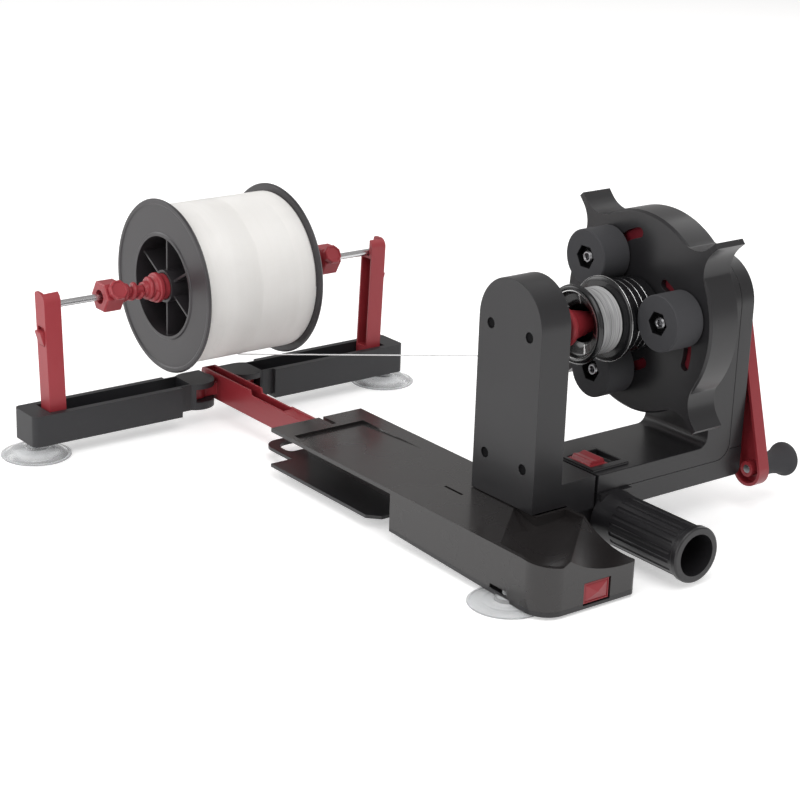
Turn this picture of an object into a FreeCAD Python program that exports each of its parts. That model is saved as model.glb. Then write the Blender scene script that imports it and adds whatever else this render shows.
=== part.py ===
"""Hand-cranked fishing line winder: a bulk spool on folding arms feeds a reel spool held in a roller chuck.

All lengths are millimetres and all angles degrees.  The machine frame has X = 0 on the line of the two
arms and runs towards the chuck, Y = 0 on the centreline of the base, and Z = 0 on the table.  Each piece
is placed from there into the row frame, whose origin is below the middle of the whole winder.
"""
import FreeCAD, Part
import Sketcher
import math
import os
import re

V = FreeCAD.Vector
doc = FreeCAD.newDocument("line_winder")

# ---------------------------------------------------------------- driving dimensions
DIMENSIONS = [
    # where the row frame's origin lies in the machine frame
    ("origin_x", 181.0, "middle of the winder along X"),
    ("origin_y", 30.5, "middle of the winder along Y"),
    # base
    ("deck_left", 127.0, "left edge of the deck"),
    ("deck_front", 415.0, "front face of the base box"),
    ("deck_half", 38.65, "half width of the deck"),
    ("deck_top", 36.4, "top of the deck"),
    ("deck_thick", 2.8, "thickness of the deck"),
    ("box_left", 264.0, "left wall of the base box"),
    ("wall", 2.5, "wall of the mouldings"),
    ("box_corner", 17.0, "radius of the box's near front corner"),
    ("far_corner", 4.0, "radius of the box's far front corner"),
    ("sole_low", 7.6, "underside of the bottom plate at its left end"),
    ("sole_high", 10.0, "top of the bottom plate at its left end"),
    ("seam_drop", 5.0, "how much lower the bottom plate's top is at the front"),
    ("sole_drop", 5.9, "how much lower the bottom plate's underside is at the front"),
    ("tunnel_half", 5.75, "half width of the tunnel that the beam slides in"),
    ("spine_half", 6.8, "half width of the spine round the tunnel"),
    ("tunnel_floor", 14.8, "floor of the beam tunnel"),
    ("tongue_half", 20.8, "half width of the bottom plate's tongue"),
    ("cup_radius", 25.0, "radius of a suction cup"),
    ("front_cup_x", 378.5, "place of the front cups"),
    ("front_cup_y", 34.4, "half spacing of the front cups"),
    ("button_low", 4.4, "underside of the release button"),
    ("button_high", 18.3, "top of the release button"),
    ("button_near", -4.5, "near edge of the release button"),
    ("button_far", 16.5, "far edge of the release button"),
    ("ridge_x", 399.57, "where the ridge beside the scoop crosses the centreline"),
    ("ridge_turn", 131.72, "direction of the ridge and of the scoop"),
    ("scoop_width", 45.0, "width of the scoop"),
    ("scoop_front", 10.5, "depth of the scoop at its front end"),
    ("scoop_back", 4.5, "depth of the scoop at its back end"),
    ("hollow_radius", 41.6, "radius of the hollow in the far front corner"),
    ("hollow_axis", 30.0, "distance of that hollow's axis from the ridge"),
    ("hollow_z", 65.2, "height of that hollow's axis"),
    # extension beam and arms
    ("beam_half", 5.5, "half width of the beam"),
    ("beam_low", 15.0, "underside of the beam"),
    ("beam_high", 35.5, "top of the beam's outer stretch"),
    ("beam_top", 31.8, "top of the beam's inner stretch"),
    ("beam_step", 50.0, "where the beam steps down"),
    ("beam_end", 232.0, "inner end of the beam"),
    ("arm_pivot_y", 22.0, "half spacing of the arm pivots"),
    ("arm_half", 15.0, "half width of an arm"),
    ("arm_low", 10.5, "underside of an arm"),
    ("arm_high", 33.2, "top of an arm"),
    ("arm_root", 41.0, "inner end of an arm's trough section"),
    ("neck_half", 11.6, "half width of an arm between its knuckle and its trough section"),
    ("knuckle_low", 13.2, "underside of an arm's knuckle"),
    ("lug_half", 5.8, "half width of the beam's lugs"),
    ("lug_radius", 8.0, "radius of the beam's lugs round the pins"),
    ("lug_low", 19.4, "underside of the beam's lugs"),
    ("lug_high", 28.6, "top of the beam's lugs"),
    ("arm_end", 163.0, "outer end of an arm"),
    ("arm_cup_y", 154.0, "place of an arm's cup"),
    ("trough_half", 10.0, "half width of the trough"),
    ("trough_start", 31.6, "inner end of the trough"),
    ("trough_end", 148.0, "outer end of the trough"),
    ("pin_radius", 3.0, "arm pin radius"),
    # posts and rod
    ("post_y", 139.0, "post pivot distance from the centreline"),
    ("post_z", 24.0, "post pivot height"),
    ("post_half", 6.7, "half width of a post"),
    ("post_wall", 1.3, "side wall of a post"),
    ("post_lean", 2.0, "outward lean of a post in degrees"),
    ("latch_low", 57.0, "lower end of a post latch's thumb piece above the post's pivot"),
    ("latch_top", 67.2, "upper end of a post latch's thumb piece above the post's pivot"),
    ("latch_reach", 3.0, "how far a post latch's thumb piece stands out of the post"),
    ("post_deep", 6.5, "half depth of a post"),
    ("post_top", 95.0, "post height above its pivot"),
    ("rod_z", 108.5, "height of the spool rod"),
    ("rod_radius", 2.5, "spool rod radius"),
    ("rod_half", 139.0, "half length of the spool rod"),
    ("clamp_radius", 11.7, "radius of a rod clamp's corners"),
    ("clamp_turn", 30.0, "direction that a clamp's thumb screw points in"),
    ("left_clamp_in", -86.5, "inner end of the left clamp"),
    ("left_clamp_out", -101.0, "outer end of the left clamp"),
    ("right_clamp_in", 88.5, "inner end of the right clamp"),
    ("right_clamp_out", 103.0, "outer end of the right clamp"),
    ("thumb_start", 10.4, "distance of a thumb screw's head from the rod's axis"),
    ("thumb_end", 15.2, "distance of its outer face"),
    # bulk spool
    ("bulk_radius", 64.0, "flange radius of the bulk spool"),
    ("bulk_half", 49.3, "half width of the bulk spool"),
    ("bulk_flange", 2.6, "flange thickness"),
    ("bulk_core", 38.8, "radius that the line is wound on"),
    ("bulk_bore", 36.7, "inside radius of the spool core"),
    ("bulk_wound", 58.5, "radius of the wound line"),
    # reel side
    ("chuck_x", 318.0, "place of the chuck axis along X"),
    ("chuck_z", 146.0, "height of the chuck axis"),
    ("tail_half", 30.0, "half width of the uprights"),
    ("tail_face", 9.4, "outer face of the tail upright"),
    ("tail_back", 33.5, "inner face of the tail upright"),
    ("tail_top", 184.5, "top of the tail upright"),
    ("foot_end", 62.5, "end of the tail's foot"),
    ("bar_start", 65.2, "near end of the yoke bar"),
    ("bar_top", 52.0, "top of the yoke bar"),
    ("bar_seam", 39.7, "seam between the yoke's frame and its lower shell"),
    ("bar_low", 26.0, "underside of the yoke"),
    ("yoke_inner", 163.0, "inner face of the yoke upright"),
    ("yoke_seam", 185.2, "seam between the yoke upright and its cover"),
    ("yoke_outer", 197.0, "outer face of the yoke"),
    ("grip_y", 79.0, "grip axis along Y"),
    ("grip_z", 21.5, "grip axis height"),
    ("grip_radius", 17.4, "grip radius"),
    ("grip_bore", 13.9, "grip bore radius"),
    ("grip_end", 426.0, "outer end of the grip"),
    # chuck
    ("ring_radius", 67.5, "radius of the chuck ring"),
    ("ring_face", 118.0, "front face of the chuck ring"),
    ("ring_back", 142.0, "rear edge of the chuck ring"),
    ("fin_tip", 89.0, "radius of the finger fins"),
    ("fin_turn", 42.0, "angle of the first finger fin"),
    ("jaw_turn", 9.0, "angle of the first roller"),
    ("jaw_rho", 43.3, "distance of the rollers from the chuck axis"),
    ("slot_lead", 0.26, "how much nearer the axis a spiral slot gets in a degree"),
    ("slot_sweep", 36.0, "half the turn that a spiral slot covers"),
    ("slot_half", 3.5, "half width of a spiral slot"),
    ("roller_radius", 18.5, "radius of a rubber roller"),
    ("roller_recess", 8.3, "corner radius of a roller's hexagonal recess"),
    ("roller_face", 94.6, "front face of the rollers"),
    ("spindle_radius", 6.0, "chuck spindle radius"),
    # reel spool
    ("reel_lip", 26.0, "front lip radius of the reel spool"),
    ("reel_front", 62.0, "front of the reel spool"),
    ("reel_flange", 28.3, "rear flange radius of the reel spool"),
    ("reel_skirt", 24.5, "skirt radius of the reel spool"),
    ("reel_core", 15.0, "radius that the reel's line is wound on"),
    ("reel_wound", 21.8, "radius of the reel's wound line"),
    # crank
    ("crank_length", 121.0, "distance from the chuck axis to the knob pin"),
    ("crank_tilt", 16.3, "how far the resting crank leans towards +X"),
    ("crank_face", 199.5, "inner face of the crank arm"),
    ("crank_back", 209.0, "outer face of the crank arm"),
    ("knob_end", 240.0, "outer end of the knob"),
    # line between the spools
    ("line_radius", 0.45, "radius of the free line"),
    ("line_gap", 0.35, "gap between the free line and the windings"),
    ("line_start_y", 8.0, "where the line leaves the bulk spool"),
    ("line_end_y", 75.0, "where the line meets the reel spool"),
]

sheet = doc.addObject("Spreadsheet::Sheet", "dims")
for row, (alias, number, meaning) in enumerate(DIMENSIONS, start=1):
    sheet.set(f"A{row}", meaning)
    sheet.set(f"B{row}", str(number))
    sheet.setAlias(f"B{row}", alias)
doc.recompute()

ALIASES = re.compile(r"\b(" + "|".join(alias for alias, _, _ in DIMENSIONS) + r")\b")
PIECES = {}


def link(text):
    """An expression in which every sheet name is written as the document knows it."""
    return ALIASES.sub(r"dims.\1", str(text))


def size(text):
    """The number that an expression stands for now."""
    return float(sheet.evalExpression(link(text)))


def bind(thing, path, text):
    """Ties one property of an object to an expression on the sheet."""
    thing.setExpression(path, link(text))


def place(thing, at, turn=None):
    """Puts a piece at a point of the machine frame; turn is an axis and an angle expression."""
    if turn:
        thing.Placement = FreeCAD.Placement(V(), FreeCAD.Rotation(V(*turn[0]), size(turn[1])))
        bind(thing, "Placement.Rotation.Angle", turn[1])
    bind(thing, "Placement.Base.x", f"{at[0]} - origin_x")
    bind(thing, "Placement.Base.y", f"{at[1]} - origin_y")
    bind(thing, "Placement.Base.z", at[2])


def piece(name, at=("0", "0", "0"), turn=None):
    """Starts a moulded or machined piece that becomes one node."""
    body = doc.addObject("PartDesign::Body", name)
    body.Label = name
    place(body, at, turn)
    PIECES[name] = body
    return body


# ---------------------------------------------------------------- sketches
def new_sketch(body, plane, level):
    """An empty sketch parallel to an origin plane of its body, at a level along that plane's normal."""
    sketch = body.newObject("Sketcher::SketchObject", f"{body.Name}_sketch")
    origin_plane = [f for f in body.Origin.OriginFeatures if f.Role == plane + "_Plane"][0]
    sketch.AttachmentSupport = (origin_plane, [""])
    sketch.MapMode = "FlatFace"
    bind(sketch, "AttachmentOffset.Base.z", level)
    return sketch


def hold_point(sketch, geometry, end, corner):
    """Dimensions one point of a sketch from the sketch's origin."""
    for kind, text in zip(("DistanceX", "DistanceY"), corner):
        index = sketch.addConstraint(Sketcher.Constraint(kind, -1, 1, geometry, end, size(text)))
        sketch.setExpression(f"Constraints[{index}]", link(text))


def draw_outline(sketch, corners):
    """A closed outline of straight edges; a corner with a third value is rounded to that radius."""
    points = [V(size(c[0]), size(c[1]), 0) for c in corners]
    radii = [size(c[2]) if len(c) > 2 else 0.0 for c in corners]
    count = len(corners)
    leave, arrive, arcs = [], [], {}
    for i, point in enumerate(points):
        into = (points[i - 1] - point).normalize()
        away = (points[(i + 1) % count] - point).normalize()
        cut = radii[i] / math.tan(into.getAngle(away) / 2) if radii[i] else 0.0
        arrive.append(point + into * cut)
        leave.append(point + away * cut)
        if radii[i]:
            middle = (into + away).normalize()
            reach = radii[i] / math.sin(into.getAngle(away) / 2)
            arcs[i] = Part.Arc(arrive[i], point + middle * (reach - radii[i]), leave[i])
    lines = [sketch.addGeometry(Part.LineSegment(leave[i], arrive[(i + 1) % count])) for i in range(count)]
    for i, corner in enumerate(corners):
        before, after = lines[i - 1], lines[i]
        if not radii[i]:
            sketch.addConstraint(Sketcher.Constraint("Coincident", before, 2, after, 1))
            hold_point(sketch, after, 1, corner)
            continue
        arc = sketch.addGeometry(arcs[i])
        gaps = [sketch.getPoint(arc, end).distanceToPoint(arrive[i]) for end in (1, 2)]
        first, last = (1, 2) if gaps[0] < gaps[1] else (2, 1)
        sketch.addConstraint(Sketcher.Constraint("Tangent", before, 2, arc, first))
        sketch.addConstraint(Sketcher.Constraint("Tangent", arc, last, after, 1))
        index = sketch.addConstraint(Sketcher.Constraint("Radius", arc, radii[i]))
        sketch.setExpression(f"Constraints[{index}]", link(corner[2]))
        tip = sketch.addGeometry(Part.Point(points[i]), True)
        sketch.addConstraint(Sketcher.Constraint("PointOnObject", tip, 1, before))
        sketch.addConstraint(Sketcher.Constraint("PointOnObject", tip, 1, after))
        hold_point(sketch, tip, 1, corner)


def draw_circle(sketch, u, v, radius):
    """A circle held by its centre and radius."""
    circle = sketch.addGeometry(Part.Circle(V(size(u), size(v), 0), V(0, 0, 1), size(radius)))
    hold_point(sketch, circle, 3, (u, v))
    index = sketch.addConstraint(Sketcher.Constraint("Radius", circle, size(radius)))
    sketch.setExpression(f"Constraints[{index}]", link(radius))


# ---------------------------------------------------------------- features
def slab(body, plane, low, high, outline=(), circles=(), cut=False):
    """Adds or cuts an outline between two levels of the axis that the plane faces along."""
    if size(low) > size(high):
        low, high = high, low
    backwards = plane == "XZ"
    starts_high = (not cut) if backwards else cut
    level = high if starts_high else low
    sketch = new_sketch(body, plane, f"-({level})" if backwards else level)
    if outline:
        draw_outline(sketch, outline)
    for circle in circles:
        draw_circle(sketch, *circle)
    before = body.Shape.Volume if cut else 0.0
    kind = "PartDesign::Pocket" if cut else "PartDesign::Pad"
    feature = body.newObject(kind, f"{body.Name}_{'cut' if cut else 'pad'}")
    feature.Profile = sketch
    bind(feature, "Length", f"({high}) - ({low})")
    doc.recompute()
    if cut and body.Shape.Volume > before - 0.01:
        raise RuntimeError(f"a cut in {body.Label} removes nothing")
    return feature


def turned(body, axis, profile):
    """A solid of revolution: the profile is a list of (radius, place along the axis)."""
    if axis == "X":
        sketch = new_sketch(body, "XY", "0")
        draw_outline(sketch, [(corner[1], corner[0]) + tuple(corner[2:]) for corner in profile])
        reference = "H_Axis"
    else:
        sketch = new_sketch(body, "XZ" if axis == "Z" else "XY", "0")
        draw_outline(sketch, profile)
        reference = "V_Axis"
    feature = body.newObject("PartDesign::Revolution", f"{body.Name}_turned")
    feature.Profile = sketch
    feature.ReferenceAxis = (sketch, [reference])
    feature.Angle = 360
    doc.recompute()
    return feature


def around(body, feature, plane, count):
    """Repeats a feature evenly round an origin plane's normal."""
    pattern = body.newObject("PartDesign::PolarPattern", f"{body.Name}_pattern")
    pattern.Originals = [feature]
    axis = {"XZ": "Y_Axis", "XY": "Z_Axis", "YZ": "X_Axis"}[plane]
    pattern.Axis = ([f for f in body.Origin.OriginFeatures if f.Role == axis][0], [""])
    pattern.Angle = 360
    pattern.Occurrences = count
    body.Tip = pattern
    doc.recompute()
    return pattern


def box_outline(u_low, u_high, v_low, v_high):
    """The four corners of a rectangle."""
    return [(u_low, v_low), (u_high, v_low), (u_high, v_high), (u_low, v_high)]


def hexagon(centre, radius, first):
    """Six corners round a point of the first axis; first is the angle of the first corner."""
    angles = [math.radians(first + 60 * k) for k in range(6)]
    return [(f"{centre} + ({radius}) * {math.cos(a):.6f}", f"({radius}) * {math.sin(a):.6f}") for a in angles]


def cylinder(name, axis, radius, low, high, at):
    """A plain round bar from low to high along an axis through a point of the machine frame."""
    bar = doc.addObject("Part::Cylinder", name)
    bind(bar, "Radius", radius)
    bind(bar, "Height", f"({high}) - ({low})")
    turns = {"X": (V(0, 1, 0), 90), "Y": (V(1, 0, 0), -90), "Z": (V(0, 0, 1), 0)}
    bar.Placement = FreeCAD.Placement(V(), FreeCAD.Rotation(*turns[axis]))
    start = list(at)
    start["XYZ".index(axis)] = f"{at['XYZ'.index(axis)]} + ({low})"
    place(bar, start)
    return bar


def round_piece(name, axis, radius, low, high, at):
    """A node that is one plain round bar."""
    bar = cylinder(name, axis, radius, low, high, at)
    bar.Label = name
    PIECES[name] = bar


def group(name, members):
    """A node that holds several like solids."""
    bundle = doc.addObject("Part::Compound", name)
    bundle.Label = name
    bundle.Links = members
    PIECES[name] = bundle


def shaped(name, shape, at):
    """A node whose form needs Part's own functions; the shape is built about its own origin."""
    feature = doc.addObject("Part::Feature", name)
    feature.Label = name
    feature.Shape = shape
    place(feature, at)
    PIECES[name] = feature
    return feature


def ring(name, axis, inner, outer, low, high, at):
    """A node that is a plain ring, such as a bush, a winding or a roller."""
    body = piece(name, at)
    turned(body, axis, [(inner, low), (outer, low), (outer, high), (inner, high)])
    return body


# ---------------------------------------------------------------- base
def make_base_shell():
    """Deck, spine, box, scoop and the hollowed far corner in one moulding, open underneath."""
    body = piece("base_shell_blank")
    lowest = "sole_high - seam_drop - 1"
    under = "deck_top - deck_thick"
    slab(body, "XY", lowest, "deck_top", [
        ("deck_left", "-deck_half"), ("deck_front", "-deck_half", "box_corner"),
        ("deck_front", "deck_half", "far_corner"), ("deck_left", "deck_half")])
    slab(body, "XY", f"{lowest} - 1", under, [
        ("box_left + wall", "-deck_half + wall"),
        ("deck_front - wall", "-deck_half + wall", "box_corner - wall"),
        ("deck_front - wall", "deck_half - wall", "far_corner - wall"),
        ("box_left + wall", "deck_half - wall")],
        cut=True)
    for side in (-1, 1):
        slab(body, "XY", f"{lowest} - 1", under, box_outline(
            "deck_left - 1", "box_left", f"{side} * spine_half", f"{side} * (deck_half + 1)"), cut=True)
    slab(body, "XY", f"{lowest} - 1", "sole_high", box_outline(
        "deck_left - 1", "box_left", "-spine_half - 1", "spine_half + 1"), cut=True)
    slab(body, "XZ", "-deck_half - 1", "deck_half + 1", [
        ("box_left - 1", f"{lowest} - 1"), ("deck_front + 1", f"{lowest} - 1"),
        ("deck_front + 1", "sole_high - seam_drop"), ("box_left - 1", "sole_high + 0.05")], cut=True)
    # channel in which the tail's foot slides, with a guide rib along its middle
    slab(body, "XY", "27", f"{under} + 0.5", box_outline("285", "351", "9.6", "deck_half - 1"))
    for low, high in (("chuck_x - tail_half - 0.5", "chuck_x - 10"),
        ("chuck_x + 10", "chuck_x + tail_half + 0.5")):
        slab(body, "XY", "29.6", "deck_top + 1", box_outline(low, high, "12", "deck_half + 1"), cut=True)
    # tunnel for the beam, through the left wall of the box and the ribs behind it
    slab(body, "YZ", "deck_left - 1", "312", box_outline(
        "-tunnel_half", "tunnel_half", "tunnel_floor", under), cut=True)
    # shallow tray: its floor rises to the deck
    slab(body, "XZ", "-34", "25", [
        ("148", "deck_top - 1.9"), ("215", "deck_top"), ("215", "deck_top + 1"), ("148", "deck_top + 1")],
        cut=True)
    # sight slit, beam notch, button window and cup notches
    slab(body, "XY", f"{under} - 1", "deck_top + 1", box_outline("278", "296", "-5.5", "-3.5"), cut=True)
    slab(body, "XY", f"{under} - 1", "deck_top + 1", box_outline(
        "deck_left - 1", "143", "2", "5.6"), cut=True)
    slab(body, "YZ", "deck_front - wall - 1", "deck_front + 1", box_outline(
        "button_near - 0.5", "button_far + 0.5", "3", "button_high + 0.5"), cut=True)
    for side in (-1, 1):
        slab(body, "XZ", f"{side} * (deck_half + 1)", f"{side} * (deck_half - wall - 1)", box_outline(
            "front_cup_x - 12", "front_cup_x + 4", "3", "9.5"), cut=True)
    del PIECES["base_shell_blank"]
    hollow_out_corner(body)


def corner_point(across, along, z):
    """A point given by its distance across the ridge beside the scoop, along it, and its height."""
    turn = math.radians(size("ridge_turn"))
    return V(size("ridge_x") + across * math.sin(turn) + along * math.cos(turn),
             -across * math.cos(turn) + along * math.sin(turn), z)


def trough_section(along, depth, grown):
    """A circular segment below the deck's top, across the scoop, whose width and depth are grown."""
    top, width = size("deck_top"), size("scoop_width")
    ends = corner_point(-width - grown, along, top), corner_point(grown, along, top)
    lowest = corner_point(-width / 2, along, top - depth - grown)
    above = [point + V(0, 0, 4) for point in ends]
    return Part.Wire([
        Part.Arc(ends[0], lowest, ends[1]).toShape(), Part.makeLine(ends[1], above[1]),
        Part.makeLine(above[1], above[0]), Part.makeLine(above[0], ends[0])])


def corner_hollows(grown):
    """The scoop and the hollow beside it as solids; grown by a wall they give the lining's outside."""
    scoop = Part.makeLoft([trough_section(-70, size("scoop_front"), grown),
                           trough_section(-20, size("scoop_front"), grown),
                           trough_section(80, size("scoop_back"), grown)], True, True)
    start = corner_point(size("hollow_axis"), -90, size("hollow_z"))
    along = corner_point(size("hollow_axis"), 90, size("hollow_z")) - start
    return scoop, Part.makeCylinder(size("hollow_radius") + grown, along.Length, start, along)


def front_prism(inset, low, high):
    """The front of the box as an upright prism whose sides lie a distance inside its walls."""
    front, half = size("deck_front") - inset, size("deck_half") - inset
    radius = size("box_corner") - inset
    bend = V(front - radius, radius - half, low)
    corners = [V(300, -half, low), V(front - radius, -half, low), V(front, radius - half, low),
        V(front, half, low),
               V(351, half, low), V(351, 11, low), V(300, 11, low)]
    middle = bend + V(radius, -radius, 0) * math.sqrt(0.5)
    edges = [Part.makeLine(corners[0], corners[1]), Part.Arc(corners[1], middle, corners[2]).toShape()]
    edges += [Part.makeLine(one, other) for one, other in zip(corners[2:], corners[3:] + corners[:1])]
    return Part.Face(Part.Wire(edges)).extrude(V(0, 0, high - low))


def hollow_out_corner(body):
    """Lines the front corner under its two hollows, then cuts the hollows and the dip in the scoop's lip."""
    deck, wall, reach = size("deck_top"), size("wall"), 60
    scoop, hollow = corner_hollows(wall)
    lining = scoop.fuse(hollow).common(front_prism(wall / 2, 15, deck - size("deck_thick") / 2))
    scoop, hollow = corner_hollows(0.0)
    inside = scoop.common(front_prism(wall + 0.6, 0, deck + 4))
    # the hollow starts at the ridge, so only what lies beyond it is cut
    beyond = Part.Face(Part.makePolygon([
        corner_point(0, -90, 0), corner_point(90, -90, 0), corner_point(90, 90, 0), corner_point(0, 90, 0),
        corner_point(0, -90, 0)])).extrude(V(0, 0, deck + 4))
    dip = [corner_point(0.2, -reach, deck), corner_point(-3.6, -reach, deck - 3.1),
           corner_point(-14, -reach, deck - 1.7), corner_point(-30, -reach, deck)]
    lip = Part.Face(Part.Wire([
        Part.makeLine(dip[0], dip[1]), Part.Arc(dip[1], dip[2], dip[3]).toShape(),
        Part.makeLine(dip[3], dip[0])])).extrude(corner_point(0, -12, 0) - corner_point(0, -reach, 0))
    features = {}
    for name, shape in (("corner_lining", lining),
        ("corner_cuts", Part.Compound([inside, hollow.common(beyond), lip]))):
        features[name] = doc.addObject("Part::Feature", name)
        features[name].Shape = shape
        place(features[name], ("0", "0", "0"))
    lined = join("base_shell_lined", body, features["corner_lining"])
    shell = doc.addObject("Part::Cut", "base_shell")
    shell.Label = "base_shell"
    shell.Base = lined
    shell.Tool = features["corner_cuts"]
    PIECES["base_shell"] = shell


def make_base_bottom_plate():
    """Bottom plate with the carrying tongue at its left end, and cup seats."""
    body = piece("base_bottom_plate")
    near = "deck_half - 0.15"
    slab(body, "XY", "sole_low - sole_drop", "sole_high", [
        ("deck_left", f"-({near})"), ("238", f"-({near})"), ("246", "-31"), ("246", "-12"),
        ("box_left", "-12"),
        ("box_left", "-deck_half"), ("deck_front", "-deck_half", "box_corner"),
        ("deck_front", "deck_half", "far_corner"), ("box_left", "deck_half"), ("box_left", "12"),
        ("246", "12"),
        ("246", "31"), ("238", near), ("deck_left", near)])
    slab(body, "XZ", "-deck_half - 1", "deck_half + 1", [
        ("box_left", "sole_high"), ("deck_front + 1", "sole_high - seam_drop - 0.05"),
        ("deck_front + 1", "sole_high + 1"), ("box_left", "sole_high + 1")], cut=True)
    slab(body, "XZ", "-deck_half - 1", "deck_half + 1", [
        ("deck_left - 1", "sole_low - sole_drop - 1"), ("deck_front + 1", "sole_low - sole_drop - 1"),
        ("deck_front + 1", "sole_low - sole_drop"), ("box_left", "sole_low"), ("deck_left - 1", "sole_low")],
        cut=True)
    slab(body, "XY", "sole_low", "sole_high", [
        ("deck_left - 38", "-tongue_half", "12"), ("deck_left + 1", "-tongue_half"),
        ("deck_left + 1", "tongue_half"), ("deck_left - 38", "tongue_half", "12")])
    slab(body, "XY", "sole_low - 1", "sole_high + 1", [
        ("deck_left - 30", "-14.5", "9"), ("deck_left - 12", "-14.5", "5"), ("deck_left - 12", "14.5", "5"),
        ("deck_left - 30", "14.5", "9")], cut=True)
    for radius, top in (("3.05", "sole_high + 1"), ("8.3", "4.7")):
        slab(body, "XY", "0", top, circles=[
            ("front_cup_x", "-front_cup_y", radius), ("front_cup_x", "front_cup_y", radius)], cut=True)
    slab(body, "XY", "button_low - 0.5", "sole_high + 1", box_outline(
        "deck_front - 9", "deck_front + 1", "button_near - 0.5", "button_far + 0.5"), cut=True)


def make_cup(name, at, rise, dome, stem, stem_top):
    """A soft suction cup: a thin rim that rises to a hollow dome, and a stem for the piece above."""
    body = piece(name, at)
    turned(body, "Z", [
        ("0", f"{dome} - 2.6"), ("8", f"{dome} - 3"), ("cup_radius - 1.4", "0"), ("cup_radius", "0"),
        ("cup_radius", "1"), ("cup_radius - 10", rise), ("8", f"{rise} + 0.6"), ("7.6", dome), (stem, dome),
        (stem, stem_top), ("0", stem_top)])


def make_release():
    """Red release button on the front of the base, and the spring that returns it."""
    body = piece("release_button")
    slab(body, "YZ", "deck_front - wall - 1", "deck_front + 1", box_outline(
        "button_near", "button_far", "button_low", "button_high"))
    slab(body, "YZ", "deck_front - 24", "deck_front - wall - 1", circles=[("6", "12", "3")])
    shaped("release_spring", coil(4.2, 0.5, 2.6, 4.5, V(1, 0, 0)), ("deck_front - 18", "6", "12"))


def coil(radius, wire, pitch, turns, direction):
    """A round-wire helical spring whose axis starts at the origin and runs along a direction."""
    helix = Part.makeHelix(pitch, pitch * turns, radius)
    circle = Part.Wire(Part.makeCircle(wire, V(radius, 0, 0), V(0, 1, 0)))
    spring = Part.Wire(helix.Edges).makePipeShell([circle], True, True)
    spring.Placement = FreeCAD.Placement(V(), FreeCAD.Rotation(V(0, 0, 1), direction))
    return Part.Compound([spring]) if not spring.Solids else spring.Solids[0]


# ---------------------------------------------------------------- extension beam and arms
def make_beam():
    """Red sliding beam with an open trough, a retaining rail and a lug on each side for the arms."""
    body = piece("extension_beam")
    slab(body, "XZ", "-beam_half", "beam_half", [
        ("-16", "beam_low"), ("beam_end", "beam_low"), ("beam_end", "beam_top"),
        ("beam_step + 1.5", "beam_top"),
        ("beam_step", "beam_high"), ("-16", "beam_high", "3")])
    slab(body, "XZ", "-4", "4", [
        ("-13", "beam_low + 3"), ("86", "beam_low + 3"), ("92", "beam_top + 1"), ("92", "beam_high + 1"),
        ("-13", "beam_high + 1")], cut=True)
    slab(body, "XY", "beam_top - 1", "beam_top + 0.9", box_outline("89", "143", "3", "beam_half"))
    for side in (-1, 1):
        slab(body, "XY", "lug_low", "lug_high", box_outline(
            "-lug_half", "lug_half", f"{side} * 5", f"{side} * arm_pivot_y"))
        slab(body, "XY", "lug_low", "lug_high", circles=[("0", f"{side} * arm_pivot_y", "lug_radius")])
    for side in (-1, 1):
        slab(body, "XY", "lug_low - 1", "lug_high + 1",
            circles=[("0", f"{side} * arm_pivot_y", "pin_radius")],
             cut=True)
    group("arm_pins", [
        cylinder(f"arm_pin_{tag}", "Z", "pin_radius", "knuckle_low + 0.3", "arm_high - 1.9",
                 ("0", f"{side} * arm_pivot_y", "0"))
        for side, tag in ((-1, "left"), (1, "right"))])


def make_arm(tag, side):
    """Trough arm: knuckle slotted for the beam's lug, neck, trough, end block and foot cup."""
    body = piece(f"{tag}_arm", ("0", f"{side} * arm_pivot_y", "0"))
    root = f"{side} * (arm_root - arm_pivot_y)"
    end = f"{side} * (arm_end - arm_pivot_y)"
    slab(body, "XY", "arm_low", "arm_high", [
        ("-arm_half", root), ("-arm_half", end, "4"), ("arm_half", end, "4"), ("arm_half", root)])
    slab(body, "XY", "knuckle_low", "arm_high", box_outline("-neck_half", "neck_half", "0", root))
    slab(body, "XY", "knuckle_low", "arm_high", circles=[("0", "0", "arm_half")])
    slab(body, "XY", "knuckle_low", "arm_high", box_outline("-arm_half", "-1", f"{-side} * 13.5", "0"))
    # the slot lets the lug swing from the beam's side round to the front
    slab(body, "XY", "lug_low - 0.4", "lug_high + 0.4", box_outline(
        "-lug_half - 0.6", "arm_half + 1", f"{-side} * (arm_half + 1)", f"{side} * (lug_half + 0.6)"),
        cut=True)
    slab(body, "XY", "lug_low - 0.4", "lug_high + 0.4", circles=[("0", "0", "lug_radius + 0.5")], cut=True)
    slab(body, "XY", "arm_low - 1", "arm_high - 1.8", circles=[("0", "0", "pin_radius + 0.05")], cut=True)
    slab(body, "XY", "arm_low + 2.5", "arm_high + 1", box_outline(
        "-trough_half", "trough_half", f"{side} * (trough_start - arm_pivot_y)",
        f"{side} * (trough_end - arm_pivot_y)"), cut=True)
    # post pin bore, cup socket and the finger notch under the outer end
    slab(body, "YZ", "-arm_half - 1", "arm_half - 1.5", circles=[
        (f"{side} * (post_y - arm_pivot_y)", "post_z", "1.6")], cut=True)
    slab(body, "XY", "arm_low - 1", "20", circles=[
        ("0", f"{side} * (arm_cup_y - arm_pivot_y)", "4.02")], cut=True)
    make_cup(f"{tag}_arm_cup", ("0", f"{side} * arm_cup_y", "0"), "5.1", "6.8", "4", "19.9")
    round_piece(f"{tag}_post_pin", "X", "1.6", "-arm_half + 0.5", "arm_half - 1.6",
                ("0", f"{side} * post_y", "post_z"))


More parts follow.
